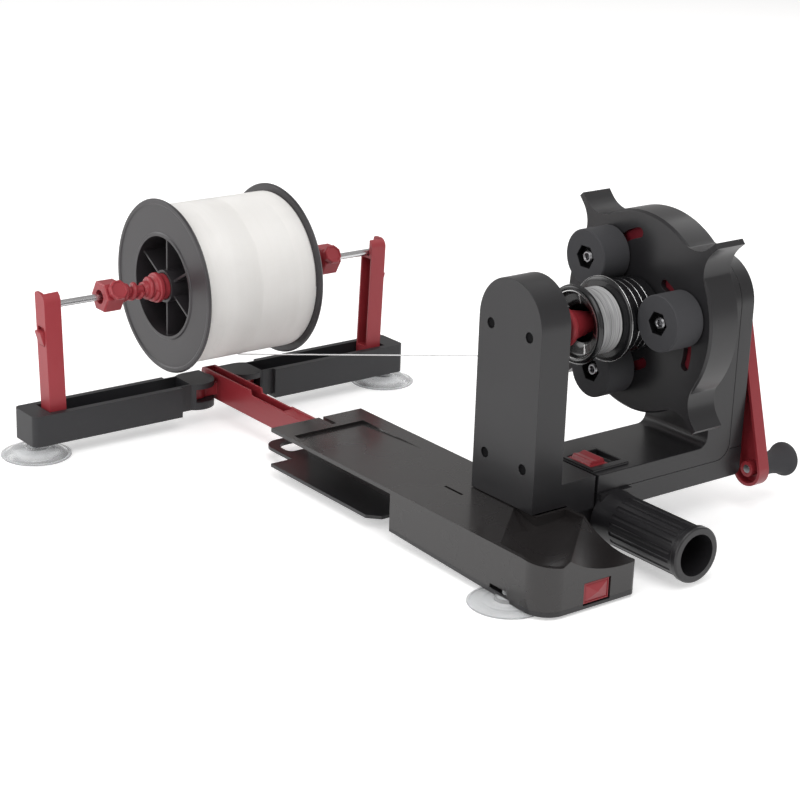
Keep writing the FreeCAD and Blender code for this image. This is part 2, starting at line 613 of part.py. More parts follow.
def make_post(tag, side):
    """Folding red post, a channel open inwards with a rod seat at its top, and its latch slide."""
    pivot, lean = ("0", f"{side} * post_y", "post_z"), ((-side, 0, 0), "post_lean")
    body = piece(f"{tag}_post", pivot, lean)
    inner, outer = f"-{side} * post_deep", f"{side} * post_deep"
    slab(body, "XZ", inner, outer, [
        ("-post_half", "-post_deep", "6"), ("post_half", "-post_deep", "6"), ("post_half", "post_top", "6.5"),
        ("-post_half", "post_top", "2.5")])
    slab(body, "XZ", inner, f"{side} * (post_deep - 2)", [
        ("-post_half + post_wall", "9"), ("post_half - post_wall", "9"),
        ("post_half - post_wall", "post_top - 15"),
        ("-post_half + post_wall", "post_top - 15")], cut=True)
    slab(body, "XZ", f"-{side} * (post_deep + 1)", f"{side} * (post_deep - 2)", box_outline(
        "-post_half - 1", "rod_radius + 0.3", "rod_z - post_z - rod_radius - 0.3", "post_top + 1"), cut=True)
    for edge in ("-post_deep", "post_deep"):
        past = f"{edge} * (1 + 1 / post_deep)"
        slab(body, "YZ", "-post_half - 1", "post_half + 1", [
            (edge, "0"), (past, "0"), (past, "-post_deep - 1"), ("0", "-post_deep - 1"), ("0", "-post_deep"),
            (edge, "-post_deep", "post_deep - 0.1")], cut=True)
    slab(body, "YZ", "-post_half - 1", "post_half + 1", circles=[("0", "0", "1.66")], cut=True)
    slab(body, "XZ", f"{side} * (post_deep - 2.5)", f"{side} * (post_deep + 1)", box_outline(
        "-4.5", "4.5", "latch_low - 0.6", "latch_top + 3"), cut=True)
    latch = piece(f"{tag}_post_latch", pivot, lean)
    slab(latch, "YZ", "-4.2", "4.2", [
        (f"{side} * (post_deep - 2.3)", "latch_low"), (f"{side} * (post_deep + 0.6)", "latch_low"),
        (f"{side} * (post_deep + latch_reach)", "latch_top - 1.2", "1.5"),
        (f"{side} * (post_deep + latch_reach)", "latch_top"), (f"{side} * (post_deep - 2.3)", "latch_top")])
    slab(latch, "XZ", f"{side} * (post_deep - 4)", f"{side} * (post_deep - 2.2)", box_outline(
        "-5.2", "5.2", "latch_low - 1.5", "latch_top + 4.3"))


# ---------------------------------------------------------------- rod and bulk spool
def make_rod_group():
    """Steel rod with a hexagonal clamp near each end, the sprung cone and the fixed cone."""
    axis_point = ("0", "0", "rod_z")
    round_piece("spool_rod", "Y", "rod_radius", "-rod_half", "rod_half", axis_point)
    for tag, sign in (("left", -1), ("right", 1)):
        inner, outer = f"{tag}_clamp_in", f"{tag}_clamp_out"
        middle = f"({inner} + {outer}) / 2"
        turn = ((0, -1, 0), "clamp_turn")
        body = piece(f"{tag}_clamp", axis_point, turn)
        slab(body, "XZ", inner, outer, hexagon("0", "clamp_radius", 30))
        slab(body, "XZ", f"{inner} - {sign}", f"{outer} + {sign}",
            circles=[("0", "0", "rod_radius + 0.02")], cut=True)
        slab(body, "XZ", f"{outer} - {4.4 * sign}", f"{outer} + {sign}", circles=[("0", "0", "5")], cut=True)
        slab(body, "YZ", "rod_radius + 0.5", "clamp_radius",
            circles=[(f"{inner} + {5.7 * sign}", "0", "3.06")],
             cut=True)
        screw = piece(f"{tag}_clamp_screw", ("0", f"{inner} + {5.7 * sign}", "rod_z"), turn)
        turned(screw, "X", [
            ("0", "rod_radius + 0.8"), ("3", "rod_radius + 0.8"), ("3", "thumb_start"),
            ("7.4", "thumb_start"),
            ("7.4", "thumb_end", "1.2"), ("0", "thumb_end")])
    shaped("pressure_spring", coil(5.1, 1.6, 6.8, 2.5, V(0, 1, 0)), ("0", "left_clamp_in + 1.75", "rod_z"))
    cone_bore = "rod_radius + 0.05"
    cone = piece("pressure_cone", axis_point)
    turned(cone, "Y", [
        (cone_bore, "-66"), ("5", "-66"), ("9.6", "-54"), ("11", "-53.5"), ("11", "-49.8"), ("9.6", "-49.8"),
        ("9.6", "-48"), ("7", "-44"), (cone_bore, "-44")])
    fixed = piece("fixed_cone", axis_point)
    turned(fixed, "Y", [
        ("rod_radius + 0.02", "44"), ("7", "44"), ("9.6", "48"), ("9.6", "49.8"), ("11", "49.8"),
        ("11", "53.5"),
        ("6.5", "57"), ("6.5", "right_clamp_in - 0.1"), ("rod_radius + 0.02", "right_clamp_in - 0.1")])


def make_bulk_half(tag, side):
    """One moulded half of the bulk spool: flange, core, hub and six ribs."""
    body = piece(f"bulk_spool_{tag}_half", ("0", "0", "rod_z"), ((0, -1, 0), "30"))
    inner, outer = f"{side} * (bulk_half - bulk_flange)", f"{side} * bulk_half"
    middle = f"{side} * 0.05"
    turned(body, "Y", [
        ("bulk_bore", middle), ("bulk_core - 0.1", middle), ("bulk_core - 0.1", inner),
        ("bulk_radius - 1", inner),
        ("bulk_radius", f"{side} * (bulk_half - 1.3)"), ("bulk_radius - 1", outer),
        ("bulk_radius - 3.5", outer),
        ("bulk_radius - 4.5", f"{side} * (bulk_half - 0.8)"),
        ("bulk_bore + 3", f"{side} * (bulk_half - 0.8)"),
        ("bulk_bore + 2", outer), ("bulk_bore", outer)])
    rib = slab(body, "XZ", middle, f"{side} * (bulk_half - 4)", box_outline(
        "10.6", "bulk_bore + 0.6", "-0.9", "0.9"))
    around(body, rib, "XZ", 6)
    slab(body, "XZ", middle, f"{side} * (bulk_half - 1)", circles=[("0", "0", "12"), ("0", "0", "10")])


def make_line():
    """The two windings, and the taut run of line that touches both from below."""
    ring("bulk_line", "Y", "bulk_core", "bulk_wound", "-bulk_half + bulk_flange + 0.1",
         "bulk_half - bulk_flange - 0.1", ("0", "0", "rod_z"))
    ring("reel_line", "Y", "reel_core + 0.1", "reel_wound", "67.7", "85.3", ("chuck_x", "0", "chuck_z"))
    gap = size("line_radius + line_gap")
    big, small = size("bulk_wound") + gap, size("reel_wound") + gap
    across, rise = size("chuck_x"), size("chuck_z - rod_z")
    lean = math.atan2(rise, across) + math.asin((big - small) / math.hypot(across, rise))
    below = V(math.sin(lean), 0, -math.cos(lean))
    start = V(0, size("line_start_y"), size("rod_z")) + below * big
    end = V(across, size("line_end_y"), size("chuck_z")) + below * small
    run = Part.makeCylinder(size("line_radius"), start.distanceToPoint(end), start, end - start)
    shaped("line_run", run, ("0", "0", "0"))


# ---------------------------------------------------------------- tail
def arch(half, bottom, top, radius):
    """An upright outline with a nearly half-round top."""
    return [(f"-({half})", bottom), (half, bottom), (half, top, radius), (f"-({half})", top, radius)]


TAIL_SCREWS = [(x, z) for x in ("-18.5", "18.5") for z in ("64", "151")]


def make_tail():
    """Sliding tail upright with its foot and tongue, inner cover, screws, spindle, bush and live centre."""
    at = ("chuck_x", "0", "0")
    body = piece("tail_upright", at)
    slab(body, "XZ", "tail_face", "tail_back",
        arch("tail_half", "deck_top + 0.5", "tail_top", "tail_half - 0.1"))
    slab(body, "XZ", "tail_back - 1", "foot_end", box_outline(
        "-tail_half", "tail_half", "deck_top + 0.5", "bar_top + 0.5"))
    for low, high in (("-tail_half", "-10.4"), ("10.4", "tail_half")):
        slab(body, "XZ", "deck_half + 0.6", "foot_end", box_outline(low, high, "30.2", "deck_top + 1"))
    slab(body, "XZ", "tail_face + 3", "tail_back + 0.01", arch(
        "tail_half - 3", "56", "tail_top - 3", "tail_half - 3.1"),
        [(x, z, "4.6") for x, z in TAIL_SCREWS] + [("0", "chuck_z", "12")], cut=True)
    slab(body, "XZ", "tail_back - 2.6", "tail_back + 0.01", arch(
        "tail_half - 2", "55", "tail_top - 2", "tail_half - 2.1"), cut=True)
    slab(body, "XZ", "tail_face - 1", "tail_face + 2.8", circles=[(x, z, "3.5") for x, z in TAIL_SCREWS],
        cut=True)
    slab(body, "XZ", "tail_face + 2", "tail_back + 1", circles=[(x, z, "1.7") for x, z in TAIL_SCREWS],
        cut=True)
    slab(body, "XZ", "tail_face + 6", "tail_back + 1", circles=[("0", "chuck_z", "8.02")], cut=True)
    slab(body, "XZ", "foot_end - 0.5", "120", box_outline("-14", "14", "41.4", "46.8"))
    cover = piece("tail_cover", at)
    slab(cover, "XZ", "tail_back - 2.5", "tail_back", arch(
        "tail_half - 2.2", "55.2", "tail_top - 2.2", "tail_half - 2.3"),
        [(x, z, "1.7") for x, z in TAIL_SCREWS] + [("0", "chuck_z", "4.4")])
    screws = []
    for x, z in TAIL_SCREWS:
        place_at = (f"chuck_x + {x}", "0", z)
        head = cylinder("tail_screw_head", "Y", "3.1", "tail_face + 0.8", "tail_face + 2.8", place_at)
        shank = cylinder("tail_screw_shank", "Y", "1.65", "tail_face + 2.8", "tail_back - 0.3", place_at)
        screws.append(join("tail_screw", head, shank))
    group("tail_screws", screws)
    axis_point = ("chuck_x", "0", "chuck_z")
    ring("tail_bush", "Y", "4.02", "8", "tail_face + 10", "tail_back - 2.6", axis_point)
    round_piece("tail_spindle", "Y", "4", "tail_face + 6.1", "77", axis_point)
    centre = piece("live_centre", axis_point)
    turned(centre, "Y", [("4.05", "52"), ("13", "52"), ("13", "56"), ("11.5", "58"), ("6.2", "78"),
        ("4.05", "78")])


def join(name, base, tool):
    """Two overlapping or touching solids as one."""
    fused = doc.addObject("Part::Fuse", name)
    fused.Base = base
    fused.Tool = tool
    return fused


# ---------------------------------------------------------------- yoke
def make_yoke():
    """The yoke that carries the chuck: frame, lower shell, cover, bearings, screws, grip and width latch."""
    at = ("chuck_x", "0", "0")
    body = piece("yoke_frame", at)
    slab(body, "YZ", "-tail_half", "tail_half", [
        ("bar_start", "bar_seam + 0.1"), ("yoke_seam - 0.1", "bar_seam + 0.1", "11.6"),
        ("yoke_seam - 0.1", "chuck_z - 20"), ("yoke_inner", "chuck_z - 20"), ("yoke_inner", "bar_top", "7"),
        ("bar_start", "bar_top")])
    slab(body, "XZ", "yoke_inner", "yoke_seam - 0.1", arch(
        "tail_half", "chuck_z - 21", "chuck_z + tail_half", "tail_half - 0.1"))
    slab(body, "XZ", "yoke_inner + 3", "yoke_seam", arch(
        "tail_half - 3", "62", "chuck_z + tail_half - 3", "tail_half - 3.1"), [("0", "chuck_z", "14")],
        cut=True)
    slab(body, "XZ", "yoke_inner - 1", "yoke_seam + 1", circles=[("0", "chuck_z", "8")], cut=True)
    for low, high in (("yoke_inner - 1", "yoke_inner + 6.2"), ("yoke_seam - 6.3", "yoke_seam + 1")):
        slab(body, "XZ", low, high, circles=[("0", "chuck_z", "11.02")], cut=True)
    slab(body, "XZ", "bar_start - 1", "150", box_outline("-14.5", "14.5", "41", "47.2"), cut=True)
    slab(body, "XY", "bar_top - 0.5", "bar_top + 1.3", [
        ("-11", "bar_start + 1"), ("24", "bar_start + 1"), ("24", "98", "2"), ("-11", "98", "2")])
    slab(body, "XY", "49", "bar_top + 2", box_outline("-5", "18", "bar_start + 4", "95.5"), cut=True)
    latch = piece("width_latch", at)
    slab(latch, "XY", "49.2", "bar_top + 1", box_outline("-4.7", "17.7", "bar_start + 4.3", "84.5"))
    slab(latch, "YZ", "-2.5", "15.5", [
        ("bar_start + 5", "bar_top + 0.5"), ("84", "bar_top + 0.5"), ("82", "bar_top + 4.6", "1.5"),
        ("77", "bar_top + 3.2", "3"), ("72", "bar_top + 4", "1.5")])
    group("chuck_bearings", [
        bearing_ring("bearing_front", "yoke_inner + 0.1", "yoke_inner + 6.1"),
        bearing_ring("bearing_rear", "yoke_seam - 6.2", "yoke_seam - 0.2")])
    shell = piece("yoke_lower_shell", at)
    slab(shell, "YZ", "-tail_half", "tail_half", [
        ("bar_start", "bar_low"), ("yoke_outer", "bar_low", "5"), ("yoke_outer", "46"), ("yoke_seam", "46"),
        ("yoke_seam", "bar_seam", "11.7"), ("bar_start", "bar_seam")])
    slab(shell, "XY", "bar_low + 3", "bar_seam + 0.5", box_outline(
        "-tail_half + 3", "tail_half - 3", "100", "178"), cut=True)
    slab(shell, "YZ", "-tail_half + 3", "tail_half - 3", [
        ("deck_half + 0.1", "14"), ("68", "14"), ("72", "bar_low + 2"), ("bar_start + 0.5", "bar_low + 3.5"),
        ("bar_start + 0.5", "29.9"), ("deck_half + 0.1", "29.9")])
    cover = piece("yoke_cover", at)
    slab(cover, "XZ", "yoke_seam", "yoke_outer", arch(
        "tail_half", "46.2", "chuck_z + tail_half", "tail_half - 0.1"))
    slab(cover, "XZ", "yoke_seam - 0.01", "yoke_outer - 3", arch(
        "tail_half - 3", "49.2", "chuck_z + tail_half - 3", "tail_half - 3.1"), [("0", "chuck_z", "12")],
        cut=True)
    slab(cover, "XZ", "yoke_seam - 1", "yoke_outer + 1", circles=[("0", "chuck_z", "7")], cut=True)


def bearing_ring(name, low, high):
    """A bearing ring on the chuck axis."""
    at = ("chuck_x", "0", "chuck_z")
    cut = doc.addObject("Part::Cut", name)
    cut.Base = cylinder(f"{name}_outer", "Y", "11", low, high, at)
    cut.Tool = cylinder(f"{name}_bore", "Y", "spindle_radius + 0.05", f"{low} - 1", f"{high} + 1", at)
    return cut


def make_grip():
    """Fluted grip tube with a rolled end, and a flared root on the side of the yoke."""
    body = piece("grip_tube", ("0", "grip_y", "grip_z"))
    turned(body, "X", [
        ("grip_bore", "chuck_x + tail_half + 0.2"), ("grip_radius + 1.2", "chuck_x + tail_half + 0.2"),
        ("grip_radius", "chuck_x + tail_half + 12"), ("grip_radius", "grip_end - 5.5"),
        ("grip_radius + 1.3", "grip_end - 4.5", "1"), ("grip_radius + 1.3", "grip_end", "1.5"),
        ("grip_bore", "grip_end")])
    flute = slab(body, "YZ", "chuck_x + tail_half + 16", "grip_end - 8", circles=[
        ("0", "grip_radius + 1.1", "1.9")], cut=True)
    around(body, flute, "YZ", 18)
    slab(body, "YZ", "chuck_x + tail_half + 0.2", "chuck_x + tail_half + 3.2", [
        ("-13", "4"), ("14", "4"), ("14", "bar_seam - grip_z - 0.4"), ("-13", "bar_seam - grip_z - 0.4")])
    slab(body, "YZ", "chuck_x + tail_half", "chuck_x + tail_half + 4", circles=[("0", "0", "grip_bore")],
        cut=True)


# ---------------------------------------------------------------- chuck
def make_chuck():
    """Spindle, guide plate, finned ring with spiral slots, and three jaws with rubber rollers."""
    axis_point = ("chuck_x", "0", "chuck_z")
    round_piece("chuck_spindle", "Y", "spindle_radius", "80.5", "208.8", axis_point)
    plate = piece("jaw_guide_plate", axis_point, ((0, -1, 0), "jaw_turn"))
    turned(plate, "Y", [
        ("spindle_radius + 0.02", "122.3"), ("62", "122.3"), ("62", "134"), ("14", "134"), ("14", "160"),
        ("spindle_radius + 0.02", "160")])
    channel = slab(plate, "XZ", "122.2", "129", box_outline("15", "63", "-5.2", "5.2"), cut=True)
    around(plate, channel, "XZ", 3)
    make_ring(axis_point)
    for number in (1, 2, 3):
        make_jaw(number, axis_point)


def make_ring(axis_point):
    """Finned cap of the chuck: its spiral slots move the jaws in and out."""
    body = piece("chuck_ring_blank", axis_point, ((0, -1, 0), "fin_turn"))
    turned(body, "Y", [
        ("spindle_radius + 0.08", "ring_face"), ("ring_radius - 1.5", "ring_face"),
        ("ring_radius", "ring_face + 1.5"), ("ring_radius", "ring_back"), ("ring_radius - 3", "ring_back"),
        ("ring_radius - 3", "ring_face + 3.8"), ("spindle_radius + 0.08", "ring_face + 3.8")])
    fin = slab(body, "XZ", "ring_face", "ring_back", [
        ("ring_radius - 6", "-25"), ("ring_radius + 2", "-2", "20"), ("fin_tip", "-2"), ("fin_tip", "2"),
        ("ring_radius + 2", "2", "20"), ("ring_radius - 6", "25")])
    around(body, fin, "XZ", 4)
    slab(body, "XZ", "ring_face + 3.8", "ring_back + 1", circles=[("0", "0", "ring_radius - 3")], cut=True)
    del PIECES["chuck_ring_blank"]
    slots = doc.addObject("Part::Feature", "spiral_slots")
    slots.Shape = Part.Compound([spiral_slot(turn) for turn in (0, 120, 240)])
    place(slots, axis_point)
    ring_cut = doc.addObject("Part::Cut", "chuck_ring")
    ring_cut.Label = "chuck_ring"
    ring_cut.Base = body
    ring_cut.Tool = slots
    PIECES["chuck_ring"] = ring_cut


def polar(rho, degrees, y=0.0):
    """A point of the chuck's own frame; the angle runs from +X towards +Z."""
    return V(rho * math.cos(math.radians(degrees)), y, rho * math.sin(math.radians(degrees)))


def spiral_slot(turn):
    """A solid that fills one spiral slot: it crosses the first roller's place at half its sweep."""
    centre, sweep, half = size("jaw_turn") + turn, size("slot_sweep"), size("slot_half")
    y = size("ring_face") - 1

    def side(offset):
        rho = [size("jaw_rho") - size("slot_lead") * step + offset for step in (-sweep, 0, sweep)]
        return [polar(r, centre + step, y) for r, step in zip(rho, (-sweep, 0, sweep))]

    inner, outer = side(-half), side(half)
    far = (inner[2] + outer[2]) * 0.5 - bulge(inner[2], outer[2], half)
    near = (inner[0] + outer[0]) * 0.5 + bulge(inner[0], outer[0], half)
    edges = [Part.Arc(*inner), Part.Arc(inner[2], far, outer[2]), Part.Arc(*reversed(outer)),
             Part.Arc(outer[0], near, inner[0])]
    wire = Part.Wire([edge.toShape() for edge in edges])
    return Part.Face(wire).extrude(V(0, 6, 0))


def bulge(inner, outer, half):
    """How far a slot's round end reaches past the line between its two sides."""
    return V(0, 1, 0).cross(outer - inner).normalize() * half


def make_jaw(number, axis_point):
    """A jaw block that slides in the guide plate, its rubber roller and its screw."""
    turn = ((0, -1, 0), f"jaw_turn + {120 * (number - 1)}")
    block = piece(f"jaw_{number}", axis_point, turn)
    slab(block, "XZ", "122.5", "128.8", box_outline("jaw_rho - 10", "jaw_rho + 10", "-5", "5"))
    slab(block, "XZ", "108", "122.6", circles=[("jaw_rho", "0", "2.8")])
    slab(block, "XZ", "107", "114", circles=[("jaw_rho", "0", "1.5")], cut=True)
    roller = piece(f"roller_{number}", axis_point, turn)
    slab(roller, "XZ", "roller_face", "117.6", circles=[("jaw_rho", "0", "roller_radius")])
    slab(roller, "XZ", "roller_face - 1", "roller_face + 5", hexagon("jaw_rho", "roller_recess", 0), cut=True)
    slab(roller, "XZ", "roller_face + 4", "118", circles=[("jaw_rho", "0", "2.85")], cut=True)
    screw = piece(f"roller_screw_{number}", axis_point, turn)
    slab(screw, "XZ", "roller_face + 1.5", "roller_face + 4.9", circles=[("jaw_rho", "0", "4.4")])
    slab(screw, "XZ", "roller_face + 4.8", "113", circles=[("jaw_rho", "0", "1.48")])


# ---------------------------------------------------------------- reel spool and crank
def make_reel():
    """Spinning-reel spool with a hollow front, a wound core and a skirt."""
    body = piece("reel_spool", ("chuck_x", "0", "chuck_z"))
    turned(body, "Y", [
        ("spindle_radius + 0.02", "83"), ("12.6", "83"), ("12.6", "68"), ("22.6", "64.5"),
        ("22.6", "reel_front"),
        ("reel_lip - 1", "reel_front"), ("reel_lip", "reel_front + 1.2"), ("reel_lip", "66.4"),
        ("reel_core", "67.5"), ("reel_core", "85.5"), ("reel_flange", "86.6"), ("reel_flange", "91.4"),
        ("reel_skirt", "92.6"), ("reel_skirt", "116.6"), ("21.8", "116.6"), ("21.8", "93"),
        ("spindle_radius + 0.02", "93")])


def make_crank():
    """Channel-section crank arm, its centre screw, the knob pin and the turning knob."""
    at = ("chuck_x", "0", "chuck_z")
    turn = ((0, -1, 0), "crank_tilt")
    body = piece("crank_arm", at, turn)
    low = "-crank_length - 12"
    slab(body, "XZ", "crank_face", "crank_back", [
        ("-12", low, "11.7"), ("12", low, "11.7"), ("14.5", "14.5", "14"), ("-14.5", "14.5", "14")])
    slab(body, "XZ", "crank_face - 0.01", "crank_back - 2.6", [
        ("-9.8", f"{low} + 2.2", "9.4"), ("9.8", f"{low} + 2.2", "9.4"), ("12.2", "12.2", "11.8"),
        ("-12.2", "12.2", "11.8")], [("0", "0", "8.6"), ("0", "-crank_length", "5.4")], cut=True)
    slab(body, "XZ", "crank_face - 1", "crank_back + 1", circles=[
        ("0", "0", "spindle_radius + 0.02"), ("0", "-crank_length", "3.02")], cut=True)
    screw = piece("crank_screw", at, turn)
    slab(screw, "XZ", "crank_back + 0.05", "crank_back + 2.4", circles=[("0", "0", "7.5")])
    pin = piece("knob_pin", at, turn)
    slab(pin, "XZ", "crank_face + 0.2", "knob_end - 4", circles=[("0", "-crank_length", "3")])
    slab(pin, "XZ", "knob_end - 4.1", "knob_end - 2", circles=[("0", "-crank_length", "4.6")])
    knob = piece("crank_knob", KNOB_AT)
    turned(knob, "Y", [
        ("3.06", "crank_back + 0.6"), ("8.4", "crank_back + 0.6"), ("7.9", "crank_back + 8"),
        ("8.8", "crank_back + 15", "14"), ("12", "knob_end - 6", "6"), ("12", "knob_end - 1.5"),
        ("10.5", "knob_end"), ("5", "knob_end"), ("5", "knob_end - 4.2"), ("3.06", "knob_end - 4.2")])


KNOB_AT = ("chuck_x + crank_length * sin(crank_tilt * 1 deg)", "0",
           "chuck_z - crank_length * cos(crank_tilt * 1 deg)")


# ---------------------------------------------------------------- the whole winder
def make_everything():
    """Builds every piece."""
    make_base_shell()
    make_base_bottom_plate()
    for tag, side in (("left", -1), ("right", 1)):
        make_cup(f"front_{tag}_cup", ("front_cup_x", f"{side} * front_cup_y", "0"), "1.8", "4.5", "3", "9.3")
    make_release()
    make_beam()
    for tag, side in (("left", -1), ("right", 1)):
        make_arm(tag, side)
        make_post(tag, side)
        make_bulk_half(tag, side)
    make_rod_group()
    make_line()
    make_tail()
    make_yoke()
    make_grip()
    make_chuck()
    make_reel()
    make_crank()
    doc.recompute()


def check_and_write():
    """Stops on any failed object or bad shape, then writes one STEP file for each piece."""
    for thing in doc.Objects:
        if "Invalid" in thing.State or "Error" in thing.State:
            raise RuntimeError(f"{thing.Label} failed: {thing.State}")
    for name, thing in PIECES.items():
        if thing.Shape.isNull() or not thing.Shape.isValid() or not thing.Shape.Solids:
            raise RuntimeError(f"{name} has no sound shape")
    os.makedirs("parts", exist_ok=True)
    for name, thing in PIECES.items():
        thing.Shape.exportStep(f"parts/{name}.step")
    print(f"{len(PIECES)} pieces written")


make_everything()
check_and_write()
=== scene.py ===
import math

import bmesh
import bpy
from mathutils import Matrix, Vector


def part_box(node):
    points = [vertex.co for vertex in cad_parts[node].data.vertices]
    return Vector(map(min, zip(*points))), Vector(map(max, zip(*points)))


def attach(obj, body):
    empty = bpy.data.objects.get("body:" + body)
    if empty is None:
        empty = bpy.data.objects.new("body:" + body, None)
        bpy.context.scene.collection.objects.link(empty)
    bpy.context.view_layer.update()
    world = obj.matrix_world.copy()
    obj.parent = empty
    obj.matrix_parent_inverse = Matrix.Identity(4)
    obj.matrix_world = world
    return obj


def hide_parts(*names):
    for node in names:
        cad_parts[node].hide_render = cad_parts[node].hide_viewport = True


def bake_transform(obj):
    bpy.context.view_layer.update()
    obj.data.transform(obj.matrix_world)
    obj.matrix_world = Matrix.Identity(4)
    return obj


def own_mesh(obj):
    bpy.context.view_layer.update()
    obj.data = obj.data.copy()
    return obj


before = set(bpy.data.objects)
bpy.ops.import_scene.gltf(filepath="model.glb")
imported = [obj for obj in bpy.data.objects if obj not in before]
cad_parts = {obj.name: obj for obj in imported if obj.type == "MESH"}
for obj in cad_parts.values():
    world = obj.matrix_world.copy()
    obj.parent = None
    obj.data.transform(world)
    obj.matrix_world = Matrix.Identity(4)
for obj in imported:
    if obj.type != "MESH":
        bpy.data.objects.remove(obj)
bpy.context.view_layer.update()        # the imported nodes now sit in world space

bl_info = {
    "name": "Line winder looks",
    "version": (1, 0, 0),
    "blender": (4, 5, 0),
    "location": "3D View > Sidebar > Winder",
    "description": "Dresses a hand-cranked fishing line winder: mouldings, windings, springs, cups and stage",
    "category": "Object",
}

MM = 0.001
AXES = {"X": Vector((1, 0, 0)), "Y": Vector((0, 1, 0)), "Z": Vector((0, 0, 1))}


# ---------------------------------------------------------------- what a user would change
def length(name, description, default):
    """A size property in metres, written here in millimetres."""
    return bpy.props.FloatProperty(
        name=name, description=description, default=default * MM, min=0.0, subtype="DISTANCE", unit="LENGTH")


def colour(name, description, default):
    """A colour property without alpha."""
    return bpy.props.FloatVectorProperty(
        name=name, description=description, default=default, min=0.0, max=1.0, size=3, subtype="COLOR")


class WINDER_PG_sizes(bpy.types.PropertyGroup):
    """Sizes of the looks."""
    edge: length("Edge radius", "Rounding of the mouldings' edges", 0.55)
    small_edge: length("Small edge radius", "Rounding of the small pieces' edges", 0.3)
    line: length("Line diameter", "Diameter of the free line", 0.9)
    bulk_pitch: length("Bulk pitch", "Distance between turns on the bulk spool", 0.9)
    reel_pitch: length("Reel pitch", "Distance between turns on the reel spool", 0.62)
    spring_wire: length("Spring wire", "Radius of the pressure spring's wire", 2.1)
    arm_cup_dome: length("Arm cup dome", "Height of the arm cups' domes", 6.8)
    front_cup_dome: length("Front cup dome", "Height of the front cups' domes", 4.5)


class WINDER_PG_finish(bpy.types.PropertyGroup):
    """Colours and finishes."""
    black: colour("Gloss black", "Glossy mouldings", (0.0150, 0.0145, 0.0160))
    deck: colour("Deck black", "Base moulding", (0.0165, 0.0145, 0.0145))
    charcoal: colour("Charcoal", "Satin mouldings", (0.0200, 0.0200, 0.0225))
    flange: colour("Flange", "Bulk spool", (0.030, 0.027, 0.030))
    red: colour("Red", "Red mouldings", (0.275, 0.024, 0.032))
    crimson: colour("Crimson", "Posts and clamps", (0.340, 0.036, 0.046))
    rubber: colour("Rubber", "Rollers and knob", (0.013, 0.013, 0.014))
    nylon: colour("Nylon", "Wound line", (0.93, 0.915, 0.89))
    # Painted shade between the turns of the wound line, mixed in by bands with its own random tone.
    nylon_shade: colour("Nylon shade", "Gaps between turns", (0.88, 0.86, 0.83))
    reel_nylon: colour("Reel nylon", "Line on the reel spool", (0.60, 0.60, 0.60))
    cup: colour("Cup", "Clear soft plastic", (0.90, 0.91, 0.92))


# ---------------------------------------------------------------- shader groups
def link(tree, source, target):
    """Joins an output socket to an input socket."""
    tree.links.new(source, target)


def math_node(tree, operation, first, second=None):
    """A math node over sockets or numbers; gives its output."""
    node = tree.nodes.new("ShaderNodeMath")
    node.operation = operation
    for socket, value in zip(node.inputs, (first, second)):
        if value is None:
            continue
        if isinstance(value, bpy.types.NodeSocket):
            link(tree, value, socket)
        else:
            socket.default_value = value
    return node.outputs[0]


def new_group(name, inputs, outputs):
    """An empty shader group with named sockets: (tree, its inputs node, its outputs node)."""
    tree = bpy.data.node_groups.new(name, "ShaderNodeTree")
    for label, kind, default in inputs:
        socket = tree.interface.new_socket(label, in_out="INPUT", socket_type=kind)
        socket.default_value = default
    for label, kind in outputs:
        tree.interface.new_socket(label, in_out="OUTPUT", socket_type=kind)
    return tree, tree.nodes.new("NodeGroupInput"), tree.nodes.new("NodeGroupOutput")


def noise(tree, scale, detail=2.0, vector=None):
    """A noise texture over object coordinates."""
    node = tree.nodes.new("ShaderNodeTexNoise")
    node.inputs["Detail"].default_value = detail
    if isinstance(scale, bpy.types.NodeSocket):
        link(tree, scale, node.inputs["Scale"])
    else:
        node.inputs["Scale"].default_value = scale
    if vector is None:
        vector = tree.nodes.new("ShaderNodeTexCoord").outputs["Object"]
    link(tree, vector, node.inputs["Vector"])
    return node.outputs["Fac"]


def remap(tree, value, low, high, to_low=0.0, to_high=1.0):
    """A clamped change of range."""
    node = tree.nodes.new("ShaderNodeMapRange")
    link(tree, value, node.inputs["Value"])
    numbers = (low, high, to_low, to_high)
    for label, number in zip(("From Min", "From Max", "To Min", "To Max"), numbers):
        if isinstance(number, bpy.types.NodeSocket):
            link(tree, number, node.inputs[label])
        else:
            node.inputs[label].default_value = number
    return node.outputs["Result"]


def mix_colour(tree, factor, first, second):
    """A mix of two colours by a factor socket."""
    node = tree.nodes.new("ShaderNodeMix")
    node.data_type = "RGBA"
    link(tree, factor, node.inputs["Factor"])
    for socket, value in ((node.inputs[6], first), (node.inputs[7], second)):
        if isinstance(value, bpy.types.NodeSocket):
            link(tree, value, socket)
        else:
            socket.default_value = value
    return node.outputs[2]


